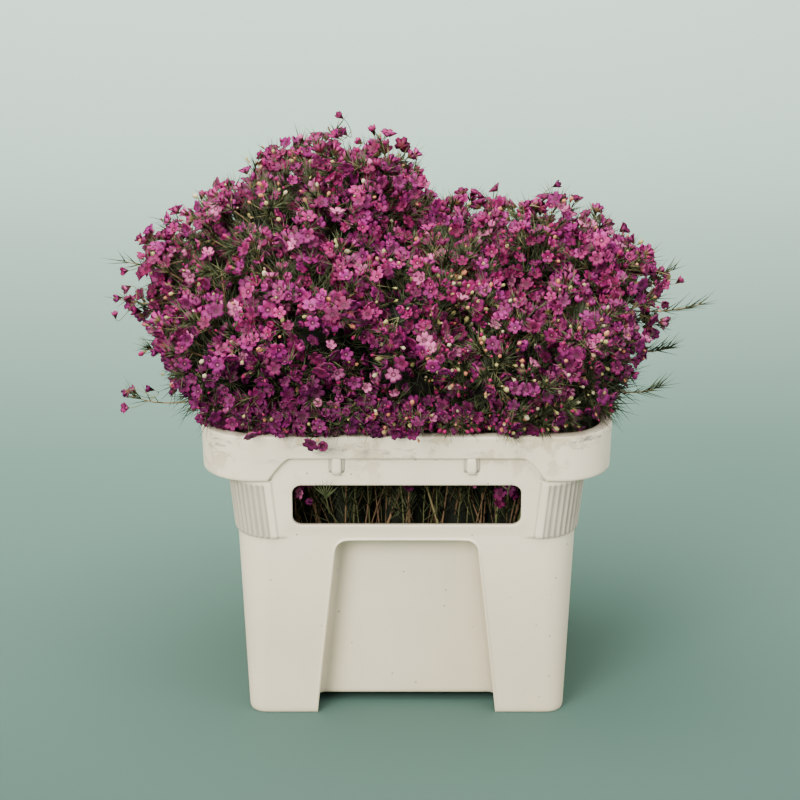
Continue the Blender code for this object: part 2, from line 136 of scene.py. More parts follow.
class Shader:
    # a material under construction; its Principled node is filled by finish
    def __init__(self, name):
        self.material = bpy.data.materials.new(name)
        self.material.use_nodes = True
        self.tree = self.material.node_tree
        self.principled = self.tree.nodes["Principled BSDF"]

    def node(self, kind, settings, values, output=0):
        made = self.tree.nodes.new("ShaderNode" + kind)
        for key, value in settings.items():
            setattr(made, key, value)
        self.fill(made, values)
        return Wire(self, made.outputs[output])

    def fill(self, made, values):
        for key, value in values.items():
            if isinstance(value, Wire):
                self.tree.links.new(value.socket, made.inputs[key])
            elif isinstance(value, tuple) and len(value) == 3 and made.inputs[key].type == "RGBA":
                made.inputs[key].default_value = (*value, 1)
            else:
                made.inputs[key].default_value = value

    def attribute(self, name):
        return self.node("Attribute", {"attribute_name": name}, {}, "Fac")

    def coords(self):
        return self.node("TexCoord", {}, {}, "Object")

    def part(self, vector, axis):
        return self.node("SeparateXYZ", {}, {"Vector": vector}, axis)

    def noise(self, vector, scale, detail, roughness):
        values = {"Vector": vector, "Scale": scale, "Detail": detail, "Roughness": roughness}
        return self.node("TexNoise", {}, values, "Fac")

    def stretched(self, vector, scale):
        return self.node("Mapping", {}, {"Vector": vector, "Scale": scale})

    def mix(self, factor, first, second):
        return self.node("Mix", {"data_type": "RGBA"}, {0: factor, 6: first, 7: second}, 2)

    def bump(self, height, distance, strength):
        return self.node("Bump", {}, {"Height": height, "Distance": distance, "Strength": strength})

    def finish(self, **values):
        self.fill(self.principled, {key.replace("_", " "): value for key, value in values.items()})
        return self.material


# the bucket is one outer skin of rows and columns, with its wall added inwards

bucket = {
    "rimTop": 303 * mm, "rimFoot": 255.5 * mm, "rimHalf": (200 * mm, 150 * mm), "rimRadius": 52 * mm,
    "rimDraft": 1.5 * mm,
    "collarFoot": 193 * mm, "collarTopHalf": (173 * mm, 144 * mm),
    "collarFootHalf": (167 * mm, 140.5 * mm), "collarRadius": 38 * mm,
    "bodyTopHalf": (165.5 * mm, 139 * mm), "bodyTopRadius": 34 * mm, "footHalf": (157 * mm, 131 * mm),
    "footRadius": 18 * mm,
    "notchTop": 279 * mm, "notchHalfTop": 113 * mm, "notchHalfFoot": 134 * mm,
    "slotHalf": 110.8 * mm, "slotLow": 206.8 * mm, "slotHigh": 250 * mm, "slotRadius": 9 * mm,
    "slotEdge": 117.5 * mm,
    "archTop": 190 * mm, "archHalfTop": 68.5 * mm, "archHalfFoot": 89 * mm, "archRadius": 12 * mm,
    "archDepth": 25 * mm, "archFillet": 7 * mm,
    "recessFoot": 10 * mm, "wall": 3 * mm, "ribPitch": 6.0 * mm, "ribHeight": 1.7 * mm,
    "frameHeight": 1.6 * mm, "frameWidth": 6.5 * mm,
    "lugs": (-67.5 * mm, 62.5 * mm),
    # lugs: width, depth, height and darkening of a narrow tab and of the wider pad under it, whose darkening
    # is painted shade beside the tab
    "lugSizes": ((9 * mm, 6.5 * mm, 18 * mm, 0.0), (16 * mm, 3.6 * mm, 16.5 * mm, 1.1)),
    "cornerSteps": 48, "sideSteps": 8, "columnCounts": (9, 11, 7, 4, 7, 9, 10),
    "shoulder": (123 * mm, 147 * mm),
    # the lip's section: share of the way, then millimetres inwards and down
    "lipPath": ((0, 11.5, 5), (0.3, 11.5, 1.2), (0.42, 10.6, 0.1), (0.6, 7, 0), (0.78, 3, 0),
        (0.9, 1.1, 0.55), (0.96, 0.35, 1.3), (1, 0, 2.6)),
    # heights in millimetres of the panel's foot over the collar and of the step under it
    "panelFoot": 254.4, "stepTop": 193.6, "patchFoot": 203.2,
    # rings round the slot: share of the way to its outline, then millimetres outside it and deep, and how
    # much darker the ring is painted, most on the slot's inner edge
    "slotRings": ((0.6, 0.9, 0, 0), (1, 0.9, 0, 0), (1, 0.5, 0.08, 0), (1, 0.15, 0.35, 0),
        (1, 0, 0.9, 0.2), (1, 0, 3, 0.5), (1, 0.1, 6.5, 1.0)),
    "recessTop": 32 * mm, "floorCut": 94 * mm, "floorGap": 4.5, "floorLow": 9.5 * mm, "floorHigh": 13 * mm,
}


def rowTable():
    # every row of the skin from the lip's inner edge down to the foot: its zone and share of the way along it
    drops = np.array([0.4, 0.8, 1.2, 1.6, 2.0, 2.15, 2.5, 3.1, 4.0, 5.3, 7.1, 9.4, 12.2, 15.2, 18.5])
    zones = {
        "lip": [row[0] for row in bucket["lipPath"]],
        "band": (0.12, 0.25, 0.4, 0.55, 0.7, 0.82, 0.92, 0.968, 0.99, 1),
        "under": (0.2, 0.6, 1),
        "panel": (0.04, 0.12, 0.3, 0.5, 0.7, 0.88, 1),
        "collar": np.linspace(0, 1, 22)[1:],
        "step": (0.5, 1),
        "body": np.concatenate((drops, np.linspace(18.5, 178, 16)[1:])) / 192.0,
        "foot": (0.4, 0.7, 0.9, 1),
    }
    return [(zone, t) for zone, shares in zones.items() for t in shares]


def archDistance(x, z):
    # how far (x, z) lies inside the flared recess outline with its rounded top corners
    b = bucket
    slope = (b["archHalfFoot"] - b["archHalfTop"]) / b["archTop"]
    side = (b["archHalfTop"] + slope * (b["archTop"] - z) - np.abs(x)) / math.sqrt(1 + slope * slope)
    top = b["archTop"] - z
    r = b["archRadius"]
    rounded = r - np.hypot(np.minimum(side - r, 0), np.minimum(top - r, 0))
    return np.where((side < r) & (top < r), rounded, np.minimum(side, top))


def archDepth(distance, z):
    # a quarter ellipse: steep at the outline, easing into the flat back, with a small bead outside
    b = bucket
    t = np.clip(distance / b["archFillet"], 0, 1)
    bead = 1.3 * mm * np.exp(-((distance + 1.5 * mm) / (1.0 * mm)) ** 2) * smoothStep(3 * mm, 24 * mm, z)
    return b["archDepth"] * np.sqrt(1 - (1 - t) ** 2) - bead


def notchEdge(x):
    # height of the band's lower edge: raised in the middle, falling along a slanted, rounded shoulder
    b = bucket
    t = np.clip((b["notchHalfFoot"] - np.abs(x)) / (b["notchHalfFoot"] - b["notchHalfTop"]), 0, 1)
    return b["rimFoot"] + (b["notchTop"] - b["rimFoot"]) * (1 - (1 - t) ** 1.4)


def frontColumns():
    # each column of a half front as a guide number and a share of the way to the next guide
    columns = []
    for guide, count in enumerate(bucket["columnCounts"]):
        shares = np.arange(count) / count
        if guide == 1:
            shares = 1 - (1 - shares) ** 2.2
        columns += [(guide, share) for share in shares]
    return columns + [(6, 1.0)]


def planOf(half, radius):
    # half length, half width and corner radius as one array, so that sections can be blended
    return np.array([*half, radius])


def bucketSkin():
    # rows follow the section from lip to foot, columns go once round a rounded rectangle
    b = bucket
    rim, foot = planOf(b["rimHalf"], b["rimRadius"]), planOf(b["footHalf"], b["footRadius"])
    collarTop, collarFoot = (planOf(b[key], b["collarRadius"])
        for key in ("collarTopHalf", "collarFootHalf"))
    bodyTop = planOf(b["bodyTopHalf"], b["bodyTopRadius"])
    halfFront = frontColumns()
    guideNumber = np.array([g for g, _ in halfFront])
    guideShare = np.array([s for _, s in halfFront])
    cornerSteps, sideSteps = b["cornerSteps"], b["sideSteps"]
    panelFoot, stepTop = b["panelFoot"], b["stepTop"]
    lipShare, lipIn, lipDown = np.array(b["lipPath"]).T
    ringX, ringY, ringZ, grimeAndShade = [], [], [], []
    rimS = b["rimHalf"][0] - b["rimRadius"]
    slope = (b["archHalfFoot"] - b["archHalfTop"]) / b["archTop"]

    def frontX(z, straight):
        arch = b["archHalfTop"] + slope * np.clip(b["archTop"] - z, 0, None)
        guides = np.array([0, arch - b["archFillet"], arch, arch + 3.5 * mm, 101 * mm, b["slotEdge"],
            0.94 * straight, straight])
        half = guides[guideNumber] * (1 - guideShare) + guides[guideNumber + 1] * guideShare
        return np.concatenate((-half[:0:-1], half))[:-1]

    bandX = frontX(b["rimTop"], rimS)
    edge = np.concatenate((notchEdge(bandX), np.full(2 * cornerSteps + sideSteps, b["rimFoot"])))
    shear = smoothStep(*b["shoulder"], np.abs(bandX))
    for zone, t in rowTable():
        proud = 0.0
        if zone == "lip":
            z = np.full(len(edge), b["rimTop"] - np.interp(t, lipShare, lipDown) * mm)
            plan = rim - np.interp(t, lipShare, lipIn) * mm
        elif zone == "band":
            top = b["rimTop"] - 2.6 * mm
            z = top + (edge - top) * t
            plan = rim - b["rimDraft"] * t - 1.3 * mm * max(0, (t - 0.968) / 0.032) ** 2
        elif zone == "under":
            z = edge.copy()
            plan = rim - b["rimDraft"] - 1.3 * mm
            plan = plan + (collarTop - plan) * t
        elif zone == "panel":
            z = edge + (panelFoot * mm - edge) * t
            plan = collarTop
        elif zone == "collar":
            z = np.full(len(edge), (panelFoot - (panelFoot - stepTop) * t) * mm)
            plan = collarTop + (collarFoot - collarTop) * t
        elif zone == "step":
            z = np.full(len(edge), (stepTop - 0.8 * t) * mm)
            plan = collarFoot + (bodyTop - collarFoot) * t
        else:
            share = t if zone == "body" else (178 + 14 * t) / 192.0
            z = np.full(len(edge), 192 * mm * (1 - share))
            plan = foot + (bodyTop - foot) * (z[0] / b["collarFoot"])
        hx, hy, r = plan
        straight = hx - r
        x = frontX(z[0] if zone in ("body", "foot") else b["rimTop"], straight)
        if zone == "under":
            x = bandX + (x - bandX) * (shear * t)
        elif zone == "panel":
            x = bandX + (x - bandX) * (shear + (1 - shear) * t)
        y = np.full(len(x), -hy)
        arc = np.radians(90) * np.arange(cornerSteps) / cornerSteps
        cornerX, cornerY = straight + r * np.sin(arc), -(hy - r) - r * np.cos(arc)
        sideY = np.linspace(-(hy - r), hy - r, sideSteps + 1)[:-1]
        backX, backY = straight + r * np.cos(arc), (hy - r) + r * np.sin(arc)
        xs = np.concatenate((x, cornerX, np.full(sideSteps, hx), backX))
        ys = np.concatenate((y, cornerY, sideY, backY))
        nx = np.concatenate((np.zeros(len(x)), np.sin(arc), np.ones(sideSteps), np.cos(arc)))
        ny = np.concatenate((-np.ones(len(x)), -np.cos(arc), np.zeros(sideSteps), np.sin(arc)))
        along = np.concatenate((x - straight, r * arc, np.full(sideSteps, r * math.pi / 2),
            r * (math.pi / 2 - arc)))
        leftEnd = np.concatenate((-straight - x, np.full(2 * cornerSteps + sideSteps, -1.0)))
        along = np.maximum(along, leftEnd)
        dirtAndShade = np.zeros(len(xs))
        if zone == "collar" or (zone == "step" and t < 1):
            height = z[0]
            along = along - 3.5 * mm
            zoneShare = smoothStep(-0.6 * mm, 0.2 * mm, along) * smoothStep(251.5 * mm, 250.5 * mm, height)
            zoneShare = zoneShare * smoothStep(r * math.pi / 2 - 3.5 * mm, r * math.pi / 2 - 6 * mm, along)
            rib = 0.5 - 0.5 * np.cos(2 * math.pi * along / b["ribPitch"])
            frameRaise = smoothStep(-b["frameWidth"] - 1.2 * mm, -b["frameWidth"], along)
            raised = b["frameHeight"] * frameRaise * (1 - zoneShare)
            raised = raised + zoneShare * (b["ribHeight"] * rib ** 0.8)
            groove = 0.5 * mm * np.exp(-((along + b["frameWidth"] + 1.6 * mm) / (0.9 * mm)) ** 2)
            proud = (raised - groove) * smoothStep(panelFoot * mm, 253.6 * mm, height)
            # the ribbed panels are painted darker, most in the grooves between the ribs and in the groove
            # beside the frame: grime, with painted shade in the grooves
            dirtAndShade = zoneShare * (0.72 + 0.75 * (1 - rib)) + 0.7 * groove / (0.5 * mm)
        if zone in ("collar", "step"):
            fade = np.clip(smoothStep(112 * mm, 126 * mm, np.abs(xs)) + (np.abs(ys) < hy - 1 * mm), 0, 1)
            sunk = 1.5 * mm * smoothStep(215 * mm, stepTop * mm, z) * (1 - t if zone == "step" else 1)
            ys = np.where(fade < 1, -(np.abs(ys) - (1 - fade) * sunk), ys)
        if zone in ("body", "foot"):
            inside = archDistance(xs, z)
            depth = np.where(ny < -0.999, archDepth(inside, z), 0)
            lift = b["recessFoot"] + 0.36 * (b["archDepth"] - depth)
            lift = lift * smoothStep(0.5 * mm, 3.5 * mm, depth) + 1e-9
            z = np.where(z < b["recessTop"], lift + z * (b["recessTop"] - lift) / b["recessTop"], z)
            ys = ys + depth
            # painted shade: the recess is darkened near its outline, where the legs and its fillet shade it
            dirtAndShade = 0.62 * np.exp(-(np.maximum(inside - 3 * mm, 0) / (9 * mm)) ** 2)
            dirtAndShade = dirtAndShade * (inside > 0) * (ny < -0.999)
            if zone == "foot":
                tuck = 1.0 * mm * max(0, (t - 0.7) / 0.3) ** 2
                xs, ys = xs - nx * tuck, ys - ny * tuck
        if zone == "lip":
            dirtAndShade = np.full(len(xs), float(0.1 < t < 0.93))
        # painted shade under the rim's overhang
        if zone == "under":
            dirtAndShade = np.full(len(xs), 0.6)
        ringX.append(xs + nx * proud)
        ringY.append(ys + ny * proud)
        ringZ.append(z)
        grimeAndShade.append(dirtAndShade)
    X, Y, Z, D = (np.array(part) for part in (ringX, ringY, ringZ, grimeAndShade))
    X, Y, Z, D = np.hstack((X, -X)), np.hstack((Y, -Y)), np.hstack((Z, Z)), np.hstack((D, D))
    return X, Y, Z, D, len(bandX)


def slotPatch(loop, side):
    # rings from the skin's square hole to the slot's rounded outline, then over its edge and inwards
    b = bucket
    r = b["slotRadius"]
    core = np.stack((np.clip(loop[:, 0], -b["slotHalf"] + r, b["slotHalf"] - r),
        np.clip(loop[:, 2], b["slotLow"] + r, b["slotHigh"] - r)), axis=1)
    out = np.stack((loop[:, 0], loop[:, 2]), axis=1) - core
    out /= np.linalg.norm(out, axis=1)[:, None]
    foot = b["stepTop"] * mm
    lean = (b["collarTopHalf"][1] - b["collarFootHalf"][1]) / (b["panelFoot"] * mm - foot)
    rings = []
    for share, grow, deep, _ in b["slotRings"]:
        goal = core + out * (r + grow * mm)
        flat = (1 - share) * np.stack((loop[:, 0], loop[:, 2]), axis=1) + share * goal
        wallY = b["collarFootHalf"][1] + lean * (flat[:, 1] - foot)
        y = side * (wallY - deep * mm - (1.5 * mm * smoothStep(215 * mm, foot, flat[:, 1])))
        rings.append(np.stack((flat[:, 0], y, flat[:, 1]), axis=1))
    return np.concatenate(rings)


def makeBucket(material):
    # the skin with a square hole cut in each long side and filled by a patch round the slot
    X, Y, Z, D, frontCount = bucketSkin()
    rows, columns = X.shape
    points = np.stack((X, Y, Z), axis=-1).reshape(-1, 3)
    dirtAndShade = D.ravel()
    quads = gridFaces(rows, columns, True)
    heights = Z[:, frontCount + 30]
    firstRow = int(np.argmin(np.abs(heights - bucket["panelFoot"] * mm)))
    lastRow = int(np.argmin(np.abs(heights - bucket["patchFoot"] * mm)))
    halfColumns = columns // 2
    middle = frontCount // 2
    reach = int(np.argmin(np.abs(X[lastRow, middle:frontCount] - bucket["slotEdge"])))
    parts, dirtAndShadeParts, faces = [points], [dirtAndShade], [quads]
    keep = np.ones(len(quads), dtype=bool)
    total = len(points)
    for side, start in ((-1, 0), (1, halfColumns)):
        low, high = start + middle - reach, start + middle + reach
        r, c = np.divmod(np.arange((rows - 1) * columns), columns)
        keep &= ~((r >= firstRow) & (r < lastRow) & (c >= low) & (c < high))
        loop = [firstRow * columns + k for k in range(low, high)]
        loop += [k * columns + high for k in range(firstRow, lastRow)]
        loop += [lastRow * columns + k for k in range(high, low, -1)]
        loop += [k * columns + low for k in range(lastRow, firstRow, -1)]
        loop = np.array(loop)
        patch = slotPatch(points[loop], side)
        count = len(loop)
        rings = len(patch) // count
        index = np.vstack((loop, total + np.arange(rings * count).reshape(rings, count)))
        after = np.roll(index, -1, axis=1)
        faces.append(np.stack((index[:-1], index[1:], after[1:], after[:-1]), axis=-1).reshape(-1, 4))
        parts.append(patch)
        dirtAndShadeParts.append(np.repeat([ring[3] for ring in bucket["slotRings"]], count))
        total += len(patch)
    faces[0] = quads[keep]
    piece = addMesh("bucketShell", np.concatenate(parts), np.concatenate(faces), material,
        attributes={"grimeAndShade": np.concatenate(dirtAndShadeParts)})
    wall = piece.modifiers.new("wall", "SOLIDIFY")
    wall.thickness, wall.offset, wall.use_even_offset = bucket["wall"], -1, False
    return piece, X, Y, Z, frontCount


def makeFloor(X, Y, Z, frontCount, material):
    # a slab inside the walls: strips between the front outline at floor height and its mirror image
    row = int(np.argmin(np.abs(Z[:, 0] - 18 * mm)))
    b = bucket
    end = frontCount + b["cornerSteps"]
    mirrored = slice(end - 1, frontCount - 1, -1)
    x = np.concatenate((-X[row, mirrored], X[row, :end])) * (1 - b["floorGap"] / 157)
    y = np.concatenate((Y[row, mirrored], Y[row, :end])) + b["floorGap"] * mm
    recess = np.abs(x) < b["floorCut"]
    y = np.where(recess, np.max(y[recess]), np.minimum(y, -2 * mm))
    rails = ((1, b["floorLow"]), (-1, b["floorLow"]), (-1, b["floorHigh"]), (1, b["floorHigh"]))
    strips = np.stack([np.stack((x, side * y, np.full(len(x), z)), axis=1) for side, z in rails])
    return addMesh("bucketFloor", strips.reshape(-1, 3), slabFaces(len(x)), material, smooth=False,
        attributes={"grimeAndShade": np.full(4 * len(x), 0.3)})


def slabFaces(count):
    # four rails of points, joined round the section, with the two ends closed
    k = np.arange(count - 1)
    rails = np.arange(4) * count
    pairs = zip(rails, np.roll(rails, -1))
    sides = [np.column_stack((a + k, a + k + 1, b + k + 1, b + k)) for a, b in pairs]
    ends = np.array([rails, rails[::-1] + count - 1])
    return np.vstack(sides + [ends])[:, ::-1]


def roundedBar(centre, size):
    # a superellipsoid: |x/a|^p + |y/b|^p + |z/c|^p = 1 with p = 9
    power, rings, around = 9, 9, 20
    v, u = np.meshgrid(np.linspace(0.02, 0.98, rings) * math.pi, np.arange(around) / around * 2 * math.pi,
        indexing="ij")
    ray = np.stack((np.sin(v) * np.cos(u), np.sin(v) * np.sin(u), np.cos(v)), axis=-1).reshape(-1, 3)
    ray = np.vstack((ray, [[0, 0, 1], [0, 0, -1]]))
    ray /= (np.abs(ray) ** power).sum(axis=1)[:, None] ** (1 / power)
    return np.array(centre) + ray * np.array(size) / 2, closedGrid(rings, around)


def makeLugs(material):
    # under the band of each long side two narrow tabs, each on a low, wider pad that is darkened as painted
    # shade beside the tab
    b = bucket
    parts, faces, dirtAndShade, total = [], [], [], 0
    for side in (-1, 1):
        for x in b["lugs"]:
            for wide, deep, high, grimeAndShade in b["lugSizes"]:
                centre = (-side * x, side * (b["collarTopHalf"][1] + deep / 2 - 2.4 * mm),
                    b["notchTop"] - high / 2 + 1 * mm)
                points, triangles = roundedBar(centre, (wide, deep, high))
                parts.append(points)
                faces.append(triangles + total)
                dirtAndShade.append(np.full(len(points), grimeAndShade))
                total += len(points)
    return addMesh("bucketLugs", np.vstack(parts), np.vstack(faces), material,
        attributes={"grimeAndShade": np.concatenate(dirtAndShade)})


def bucketPlastic():
    s = Shader("scuffed cream polypropylene")
    here = s.coords()
    grimeAndShade = s.attribute("grimeAndShade")
    height = s.part(here, "Z")
    clouds = s.noise(here, 9, 4, 0.6)
    patches = s.noise(here, 23, 5, 0.65)
    fine = s.noise(here, 420, 2, 0.5)
    cloud = clouds.between(0.3, 0.75)
    upper = s.mix(cloud, (0.95, 0.845, 0.63), (0.90, 0.79, 0.58))
    lower = s.mix(cloud, (0.85, 0.74, 0.53), (0.79, 0.68, 0.48))
    # painted shade: the lower body is painted darker than the upper part
    colour = s.mix(height.between(0.05, 0.24), lower, upper)
    yellow = patches.between(0.52, 0.60) * height.between(0.22, 0.30) * 0.6
    colour = s.mix(yellow, colour, (0.56, 0.45, 0.26))
    streaks = s.noise(s.stretched(here, (160, 160, 9)), 1, 3, 0.6)
    colour = s.mix(streaks.between(0.62, 0.8) * 0.16, colour, (0.33, 0.30, 0.24))
    rubbed = s.noise(s.stretched(here, (17, 17, 55)), 1, 7, 0.8)
    band = height.between(0.268, 0.294)
    scuffs = rubbed.between(0.55, 0.66) * band * 0.75
    colour = s.mix(scuffs, colour, (0.16, 0.15, 0.145))
    # grime on the lip, with painted shade under the rim, in the rib grooves, in the recess, round the slot
    # and beside the lugs, all darkened towards one grey brown
    grimeAndShadeAmount = grimeAndShade * (0.45 + patches * 0.7)
    colour = s.mix(s.node("Clamp", {}, {"Value": grimeAndShadeAmount * 0.62}), colour, (0.20, 0.18, 0.15))
    cells, tints = (s.node("TexVoronoi", {}, {"Vector": here, "Scale": 75.0}, key)
        for key in ("Distance", "Color"))
    chance = s.node("SeparateColor", {}, {"Color": tints}, "Red")
    specks = (1 - cells.between(0.03, 0.10)) * chance.between(0.55, 0.62)
    colour = s.mix(specks * 0.75, colour, (0.09, 0.075, 0.06))
    rough = 0.42 + clouds * 0.14 + scuffs * 0.3
    pebble = s.bump(fine * 0.4 + patches * 0.8, 0.00025, 0.5)
    return s.finish(Base_Color=colour, Roughness=rough, Normal=pebble, IOR=1.49)


# the flowers: sixteen stems whose heads make one uneven mass of twigs, needles, buds and florets

heads = np.array([
    (-172, -84, 361, 78), (-95, -88, 402, 82), (-1, -84, 392, 82), (90, -88, 355, 79), (168, -85, 358, 76),
        (-196, 4, 410, 68),
    (-134, -4, 456, 76), (-50, 4, 476, 82), (40, -4, 412, 76), (120, 4, 408, 74), (186, -3, 400, 68),
        (-170, 83, 378, 75),
    (-98, 80, 440, 79), (-10, 84, 410, 75), (92, 81, 384, 78), (164, 83, 368, 75),
]) * mm

bunch = {
    "seed": 31, "blend": 13 * mm, "lumps": 9 * mm, "lowest": 306 * mm, "spread": 0.62,
    "spreadStarts": 250 * mm,
    "tipSpacing": 20.5 * mm, "clusterReach": 16 * mm, "floretsEach": (4, 8),
    "floretRadius": (6.4 * mm, 7.4 * mm, 9.4 * mm), "budsEach": 1.7, "budRadii": (1.3, 1.6, 1.9, 2.6),
    "fringe": 118,
    "needlesEach": 26, "needleLength": (13 * mm, 27 * mm), "coreInset": 45 * mm, "taper": 26 * mm,
    "taperTop": 410 * mm, "taperStart": (150 * mm, 215 * mm),
    "fringeHalf": (196, 153), "fringeHeight": (311, 325),
}

random = np.random.default_rng(bunch["seed"])


def unit(v):
    return v / np.maximum(np.linalg.norm(v, axis=-1, keepdims=True), 1e-12)


def headDistance(p, each=False):
    # signed distance to every head: a ball above its middle, a drum below it, narrowed at both ends
    flat = np.linalg.norm(p[:, None, :2] - heads[None, :, :2], axis=2)
    up = np.maximum(p[:, None, 2] - heads[None, :, 2], 0)
    narrow = bunch["taper"] * (1 + 0.45 * (p[:, 0] > 0))
    narrow = narrow * (1 - smoothStep(bunch["lowest"], bunch["taperTop"], p[:, 2]))
    narrow = narrow * smoothStep(*bunch["taperStart"], np.abs(p[:, 0]))
    apart = np.hypot(flat, up) - heads[None, :, 3] + narrow[:, None]
    if each:
        return apart
    k = bunch["blend"]
    low = apart.min(axis=1)
    return low - k * np.log(np.exp(-(apart - low[:, None]) / k).sum(axis=1)) + k * 0.3


def lumps(p):
    # crossed sines of 45 to 120 mm wavelength
    a, b, c = p[:, 0], p[:, 1], p[:, 2]
    broad = np.sin(a * 78 + 1.3 * np.sin(c * 53)) * np.sin(b * 64 + 0.7) * 0.6
    fine = 0.35 * np.sin(a * 141 - b * 97 + c * 59)
    return bunch["lumps"] * (broad + 0.5 * np.sin(c * 91 + a * 37) + fine)


def outside(p):
    return headDistance(p) + lumps(p)


def surfaceNormal(p):
    # central differences of the distance over 8 mm
    e = 4 * mm
    steps = np.eye(3) * e
    return unit(np.stack([outside(p + s) - outside(p - s) for s in steps], axis=1))


def spaced(points, gap):
    # keeps each point that is at least a gap away from those kept before it
    kept = []
    for p in points:
        if not kept or np.min(np.sum((np.array(kept) - p) ** 2, axis=1)) > gap * gap:
            kept.append(p)
    return np.array(kept)


def massPoints(count):
    # random rays from points on the heads' axes, followed out to the surface by repeated halving
    k = random.integers(0, len(heads), count)
    low = np.column_stack((heads[k, :2], random.uniform(bunch["lowest"] + 10 * mm, heads[k, 2])))
    ray = unit(random.normal(size=(count, 3)) + [0, 0, 0.25])
    near, far = np.zeros(count), np.full(count, 0.16)
    for _ in range(18):
        half = (near + far) / 2
        isIn = outside(low + ray * half[:, None]) < 0
        near, far = np.where(isIn, half, near), np.where(isIn, far, half)
    p = low + ray * near[:, None]
    return p[p[:, 2] > bunch["lowest"] + 4 * mm]


def frames(normals):
    # two directions square to each normal
    helper = np.where(np.abs(normals[:, 2:3]) < 0.9, [[0.0, 0, 1]], [[1.0, 0, 0]])
    a = unit(np.cross(helper, normals))
    return a, np.cross(normals, a)


def around(axis, tilt, turn):
    # directions at angle tilt from each axis, turned round it
    a, b = frames(axis)
    turned = a * np.cos(turn)[:, None] + b * np.sin(turn)[:, None]
    return axis * np.cos(tilt)[:, None] + turned * np.sin(tilt)[:, None]


def stemPath(head, z):
    # a stick's middle line: upright in the bucket, fanning out to its head above the rim
    x, y, top, _ = head
    f = bunch["spread"] + (1 - bunch["spread"]) * smoothStep(bunch["spreadStarts"], top, z)
    return np.stack((x * f, y * f, z), axis=-1)


def floretShape():
    # polar template of radius 1: a middle, a ring, five petals in a shallow cup and a funnel below
    columns = 15
    k = np.arange(columns)
    after = (k + 1) % columns
    lobe = np.where(k % 3 == 0, 0.0, 1.0)
    turn = k / columns * 2 * math.pi + np.choose(k % 3, (0, -0.06, 0.06))
    near, far = 0.54 + 0.04 * lobe, 0.68 + 0.32 * lobe
    ring = np.column_stack((near * np.cos(turn), near * np.sin(turn), 0.07 + 0.04 * lobe))
    rim = np.column_stack((far * np.cos(turn), far * np.sin(turn), 0.26 + 0.02 * lobe))
    points = np.vstack(([[0, 0, -0.06]], ring, rim, [[0, 0, -0.62]]))
    share = np.concatenate(([0], np.full(columns, 0.60), np.full(columns, 1.0), [1.6]))
    a, b, foot = 1, 1 + columns, 1 + 2 * columns
    faces = np.vstack((
        np.column_stack((np.zeros(columns, int), a + k, a + after)),
        np.column_stack((a + k, b + k, b + after)),
        np.column_stack((a + k, b + after, a + after)),
        np.column_stack((np.full(columns, foot), b + after, b + k)),
    ))
    return points, np.column_stack((share, np.concatenate(([0], lobe, lobe, [0])))), faces


def budShape():
    # a turned pear: four rings of five points
    rings = np.array([(0.55, 0.85), (0.95, -0.05), (0.48, -0.95), (0.14, -1.9)])
    turn = np.arange(5) / 5 * 2 * math.pi
    points = np.array([(r * math.cos(t), r * math.sin(t), z) for r, z in rings for t in turn])
    quads = gridFaces(len(rings), 5, True)
    cap = np.array([(0, k, k + 1) for k in range(1, 4)])
    return points, np.vstack((quads[:, [0, 1, 2]], quads[:, [0, 2, 3]], cap))


floretPoints, floretPolar, floretFaces = floretShape()
budPoints, budFaces = budShape()


def placeCopies(shape, faces, where, axis, scale, spin, closing=None):
    # copies of a template as whole arrays: closing lifts the outer part towards a funnel
    a, b = frames(axis)
    c, s = np.cos(spin)[:, None], np.sin(spin)[:, None]
    side, up = a * c + b * s, b * c - a * s
    local = np.broadcast_to(shape, (len(where), *shape.shape)).copy()
    if closing is not None:
        r = np.linalg.norm(shape[:, :2], axis=1)
        petal = np.clip((r - 0.30) / 0.70, 0, 1) * (shape[:, 2] > -0.1)
        shut = closing[:, None] * petal[None, :]
        local[:, :, :2] *= (1 - 0.62 * shut)[:, :, None]
        local[:, :, 2] += 0.62 * shut
    local = local * np.asarray(scale).reshape(len(where), 1, -1)
    world = where[:, None, :] + local[:, :, :1] * side[:, None, :]
    world = world + local[:, :, 1:2] * up[:, None, :] + local[:, :, 2:] * axis[:, None, :]
    index = faces[None] + (np.arange(len(where)) * len(shape))[:, None, None]
    return world.reshape(-1, 3), index.reshape(-1, faces.shape[1])


def tubes(paths, radii, sides):
    # each path (n, steps, 3) becomes a tube of so many sides, open at both ends
    n, steps, _ = paths.shape
    along = unit(np.gradient(paths, axis=1))
    helper = np.where(np.abs(along[:, :1, 2:3]) < 0.8, [[[0.0, 0, 1]]], [[[1.0, 0, 0]]])
    a = unit(np.cross(along, helper))
    b = np.cross(along, a)
    turn = np.arange(sides) / sides * 2 * math.pi
    c, s = (wave(turn)[None, None, :, None] for wave in (np.cos, np.sin))
    offset = a[:, :, None, :] * c + b[:, :, None, :] * s
    points = (paths[:, :, None, :] + offset * radii[:, :, None, None]).reshape(-1, 3)
    quads = gridFaces(steps, sides, True)
    triangles = np.vstack((quads[:, [0, 2, 1]], quads[:, [0, 3, 2]]))
    index = triangles[None] + (np.arange(n) * steps * sides)[:, None, None]
    return points, index.reshape(-1, 3)


def needles(roots, directions, lengths, widths):
    # slim three-sided pyramids: three points round the root and a tip
    a, b = frames(directions)
    turn = random.uniform(0, 2 * math.pi, len(roots))[:, None]
    ring = [roots + (a * np.cos(turn + k * thirdTurn) + b * np.sin(turn + k * thirdTurn)) * widths[:, None]
        for k in range(3)]
    points = np.stack(ring + [roots + directions * lengths[:, None]], axis=1).reshape(-1, 3)
    faces = np.array([(0, 2, 1), (0, 1, 3), (1, 2, 3), (2, 0, 3)])
    return points, (faces[None] + (np.arange(len(roots)) * 4)[:, None, None]).reshape(-1, 3)


